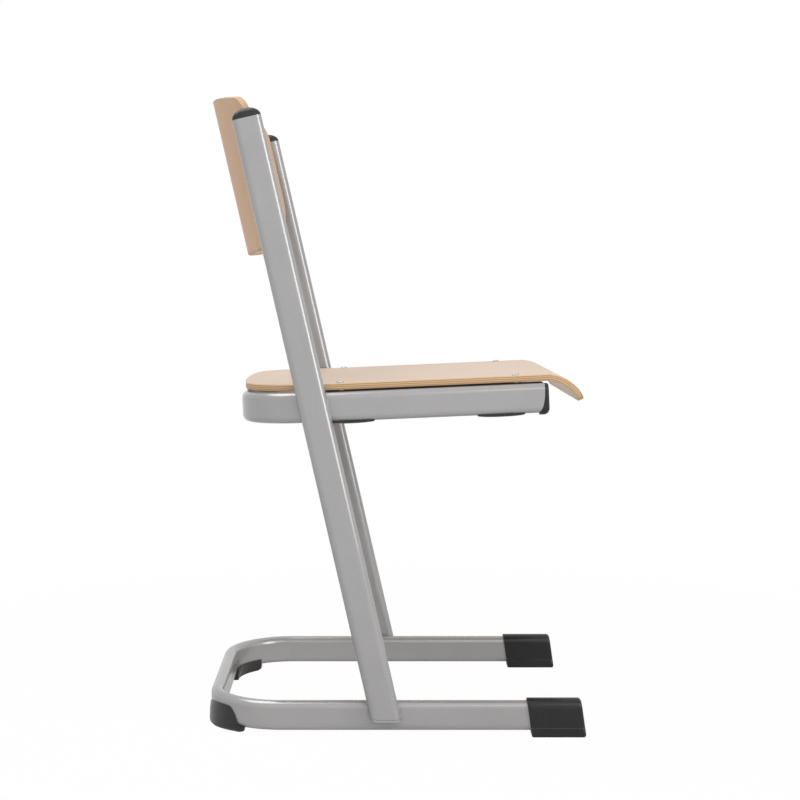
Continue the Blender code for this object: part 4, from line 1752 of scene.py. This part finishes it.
@dataclass(frozen=True)
class HiddenFixings:
    """CAD pieces that keep their shape and get a finish: strips, spacers and brackets."""

    finishes: Finishes

    def dress(self) -> None:
        """Give each of these CAD nodes its material."""
        looks = {
            # The seat strips take the near-black coat, painted shade for the gap under the seat
            "seat_strip_": self.finishes.dark_coat,
            "seat_spacer_": self.finishes.steel,
            "back_bracket_": self.finishes.coat,
        }
        for name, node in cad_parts.items():
            for start, look in looks.items():
                if name.startswith(start):
                    node.data.materials.clear()
                    node.data.materials.append(look.materials[0])
                    log.info("dressed %s", name)


@dataclass(frozen=True)
class Softbox:
    """A rectangular lamp.

    Attributes:
        name: Name of the lamp.
        place: Where it stands.
        target: Point it faces.
        size: Its width and height.
        power: Its power in watts.
        mirrored: Whether it shows in reflections.
    """

    name: str
    place: Triple
    target: Triple
    size: Pair
    power: float
    mirrored: bool = True

    def build(self) -> None:
        """Place the lamp."""
        data = bpy.data.lights.new(self.name, "AREA")
        data.shape = "RECTANGLE"
        data.size, data.size_y = self.size
        data.energy = self.power
        lamp = bpy.data.objects.new(self.name, data)
        lamp.location = self.place
        towards = Vector(self.target) - Vector(self.place)
        lamp.rotation_euler = towards.to_track_quat("-Z", "Y").to_euler()
        lamp.visible_glossy = self.mirrored
        bpy.context.scene.collection.objects.link(lamp)


@dataclass(frozen=True)
class Studio:
    """Camera, floor, world and lamps."""

    camera_place: Triple = (-0.0323, -2.358, 0.5997)
    focal_pixels: float = 1662.2
    image_pixels: float = 800.0
    axis_pixel: Pair = (368.6, 274.9)
    sensor: float = 36.0
    floor_half: float = 12.0
    floor_colour: Triple = (0.82, 0.82, 0.82)
    floor_roughness: float = 0.9
    floor_glow: float = 0.98
    floor_mirrored: float = 0.25
    floor_fade: Pair = (0.55, 1.5)
    ambient: float = 0.16
    background: Triple = (1.0, 1.0, 1.0)
    lamps: tuple[Softbox, ...] = (
        Softbox("overhead_softbox", (-1.0, -0.05, 2.4), (-1.0, -0.05, 0.4), (1.6, 1.6), 31.0),
        Softbox("right_softbox", (1.955, -1.49, 1.2), (0.0, -0.2, 0.5), (1.2, 1.6), 23.0),
        Softbox("front_softbox", (0.75, -2.3, 2.1), (0.0, -0.2, 0.4), (1.3, 1.2), 5.0),
        Softbox("front_fill", (0.0, -3.0, 1.7), (0.0, 0.0, 0.6), (3.6, 1.6), 47.0, mirrored=False),
    )

    def build(self) -> None:
        """Build the whole studio."""
        self.build_camera()
        self.build_floor()
        self.build_world()
        for lamp in self.lamps:
            lamp.build()

    def build_camera(self) -> None:
        """Place the level camera with the photo's framing."""
        data = bpy.data.cameras.new("photo_camera")
        data.sensor_width = self.sensor
        data.lens = self.focal_pixels / self.image_pixels * self.sensor
        data.shift_x = 0.5 - self.axis_pixel[0] / self.image_pixels
        data.shift_y = self.axis_pixel[1] / self.image_pixels - 0.5
        camera = bpy.data.objects.new("photo_camera", data)
        camera.location = self.camera_place
        camera.rotation_euler = (math.pi / 2, 0.0, 0.0)
        bpy.context.scene.collection.objects.link(camera)
        bpy.context.scene.camera = camera

    def floor_material(self) -> bpy.types.Material:
        """A pale floor that fades to white away from the chair.

        Returns:
            The material.
        """
        graph = NodeGraph(bpy.data.materials.new("pale_floor"))
        graph.set(Base_Color=rgba(self.floor_colour), Roughness=self.floor_roughness, Specular_IOR_Level=0.0)
        length = graph.add("ShaderNodeVectorMath", Vector=graph.coordinates("Object"))
        length.operation = "LENGTH"
        distance = length.outputs["Value"]
        mirrored = graph.span(distance, (self.floor_mirrored, 1.0), self.floor_fade, smooth=True)
        direct = graph.span(distance, (self.floor_glow, 1.0), self.floor_fade, smooth=True)
        path = graph.add("ShaderNodeLightPath")
        choice = graph.add("ShaderNodeMix", Factor=path.outputs["Is Camera Ray"], A=mirrored, B=direct)
        share = graph.math("MULTIPLY", graph.seen(), choice.outputs["Result"])
        glow = graph.add("ShaderNodeEmission")
        mix = graph.add("ShaderNodeMixShader")
        for socket, value in zip(mix.inputs, (share, graph.shader.outputs[0], glow.outputs[0])):
            graph.put(socket, value)
        graph.put(graph.tree.nodes["Material Output"].inputs["Surface"], mix.outputs[0])
        return graph.owner

    def build_floor(self) -> None:
        """Lay a pale floor that keeps the chair's shadow."""
        reach = self.floor_half
        corners = ((-reach, -reach), (reach, -reach), (reach, reach), (-reach, reach))
        draft = Draft()
        draft.face(draft.ring((x, y, 0.0) for x, y in corners))
        floor = draft.build("studio_floor", [self.floor_material()], ON_FLOOR)

    def build_world(self) -> None:
        """Light the studio evenly, with a white background."""
        world = bpy.data.worlds.new("studio_world")
        bpy.context.scene.world = world
        graph = NodeGraph(world, "Background")
        level = graph.span(graph.seen(), (self.ambient, 1.0), (0.0, 1.0))
        graph.set(Color=rgba(self.background), Strength=level)


def main() -> None:
    """Build the studio and the chair, piece by piece."""
    logging.basicConfig(level=logging.INFO, format="%(message)s")
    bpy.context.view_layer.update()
    bpy.context.scene.view_settings.view_transform = "Standard"
    plan = ChairPlan()
    finishes = Finishes.make(plan)
    rivet = Rivet()
    Studio().build()
    Base(plan, finishes).build()
    Seat(plan, finishes, rivet).build()
    Back(plan, finishes, rivet).build()
    HiddenFixings(finishes).dress()


if __name__ == "__main__":
    main()
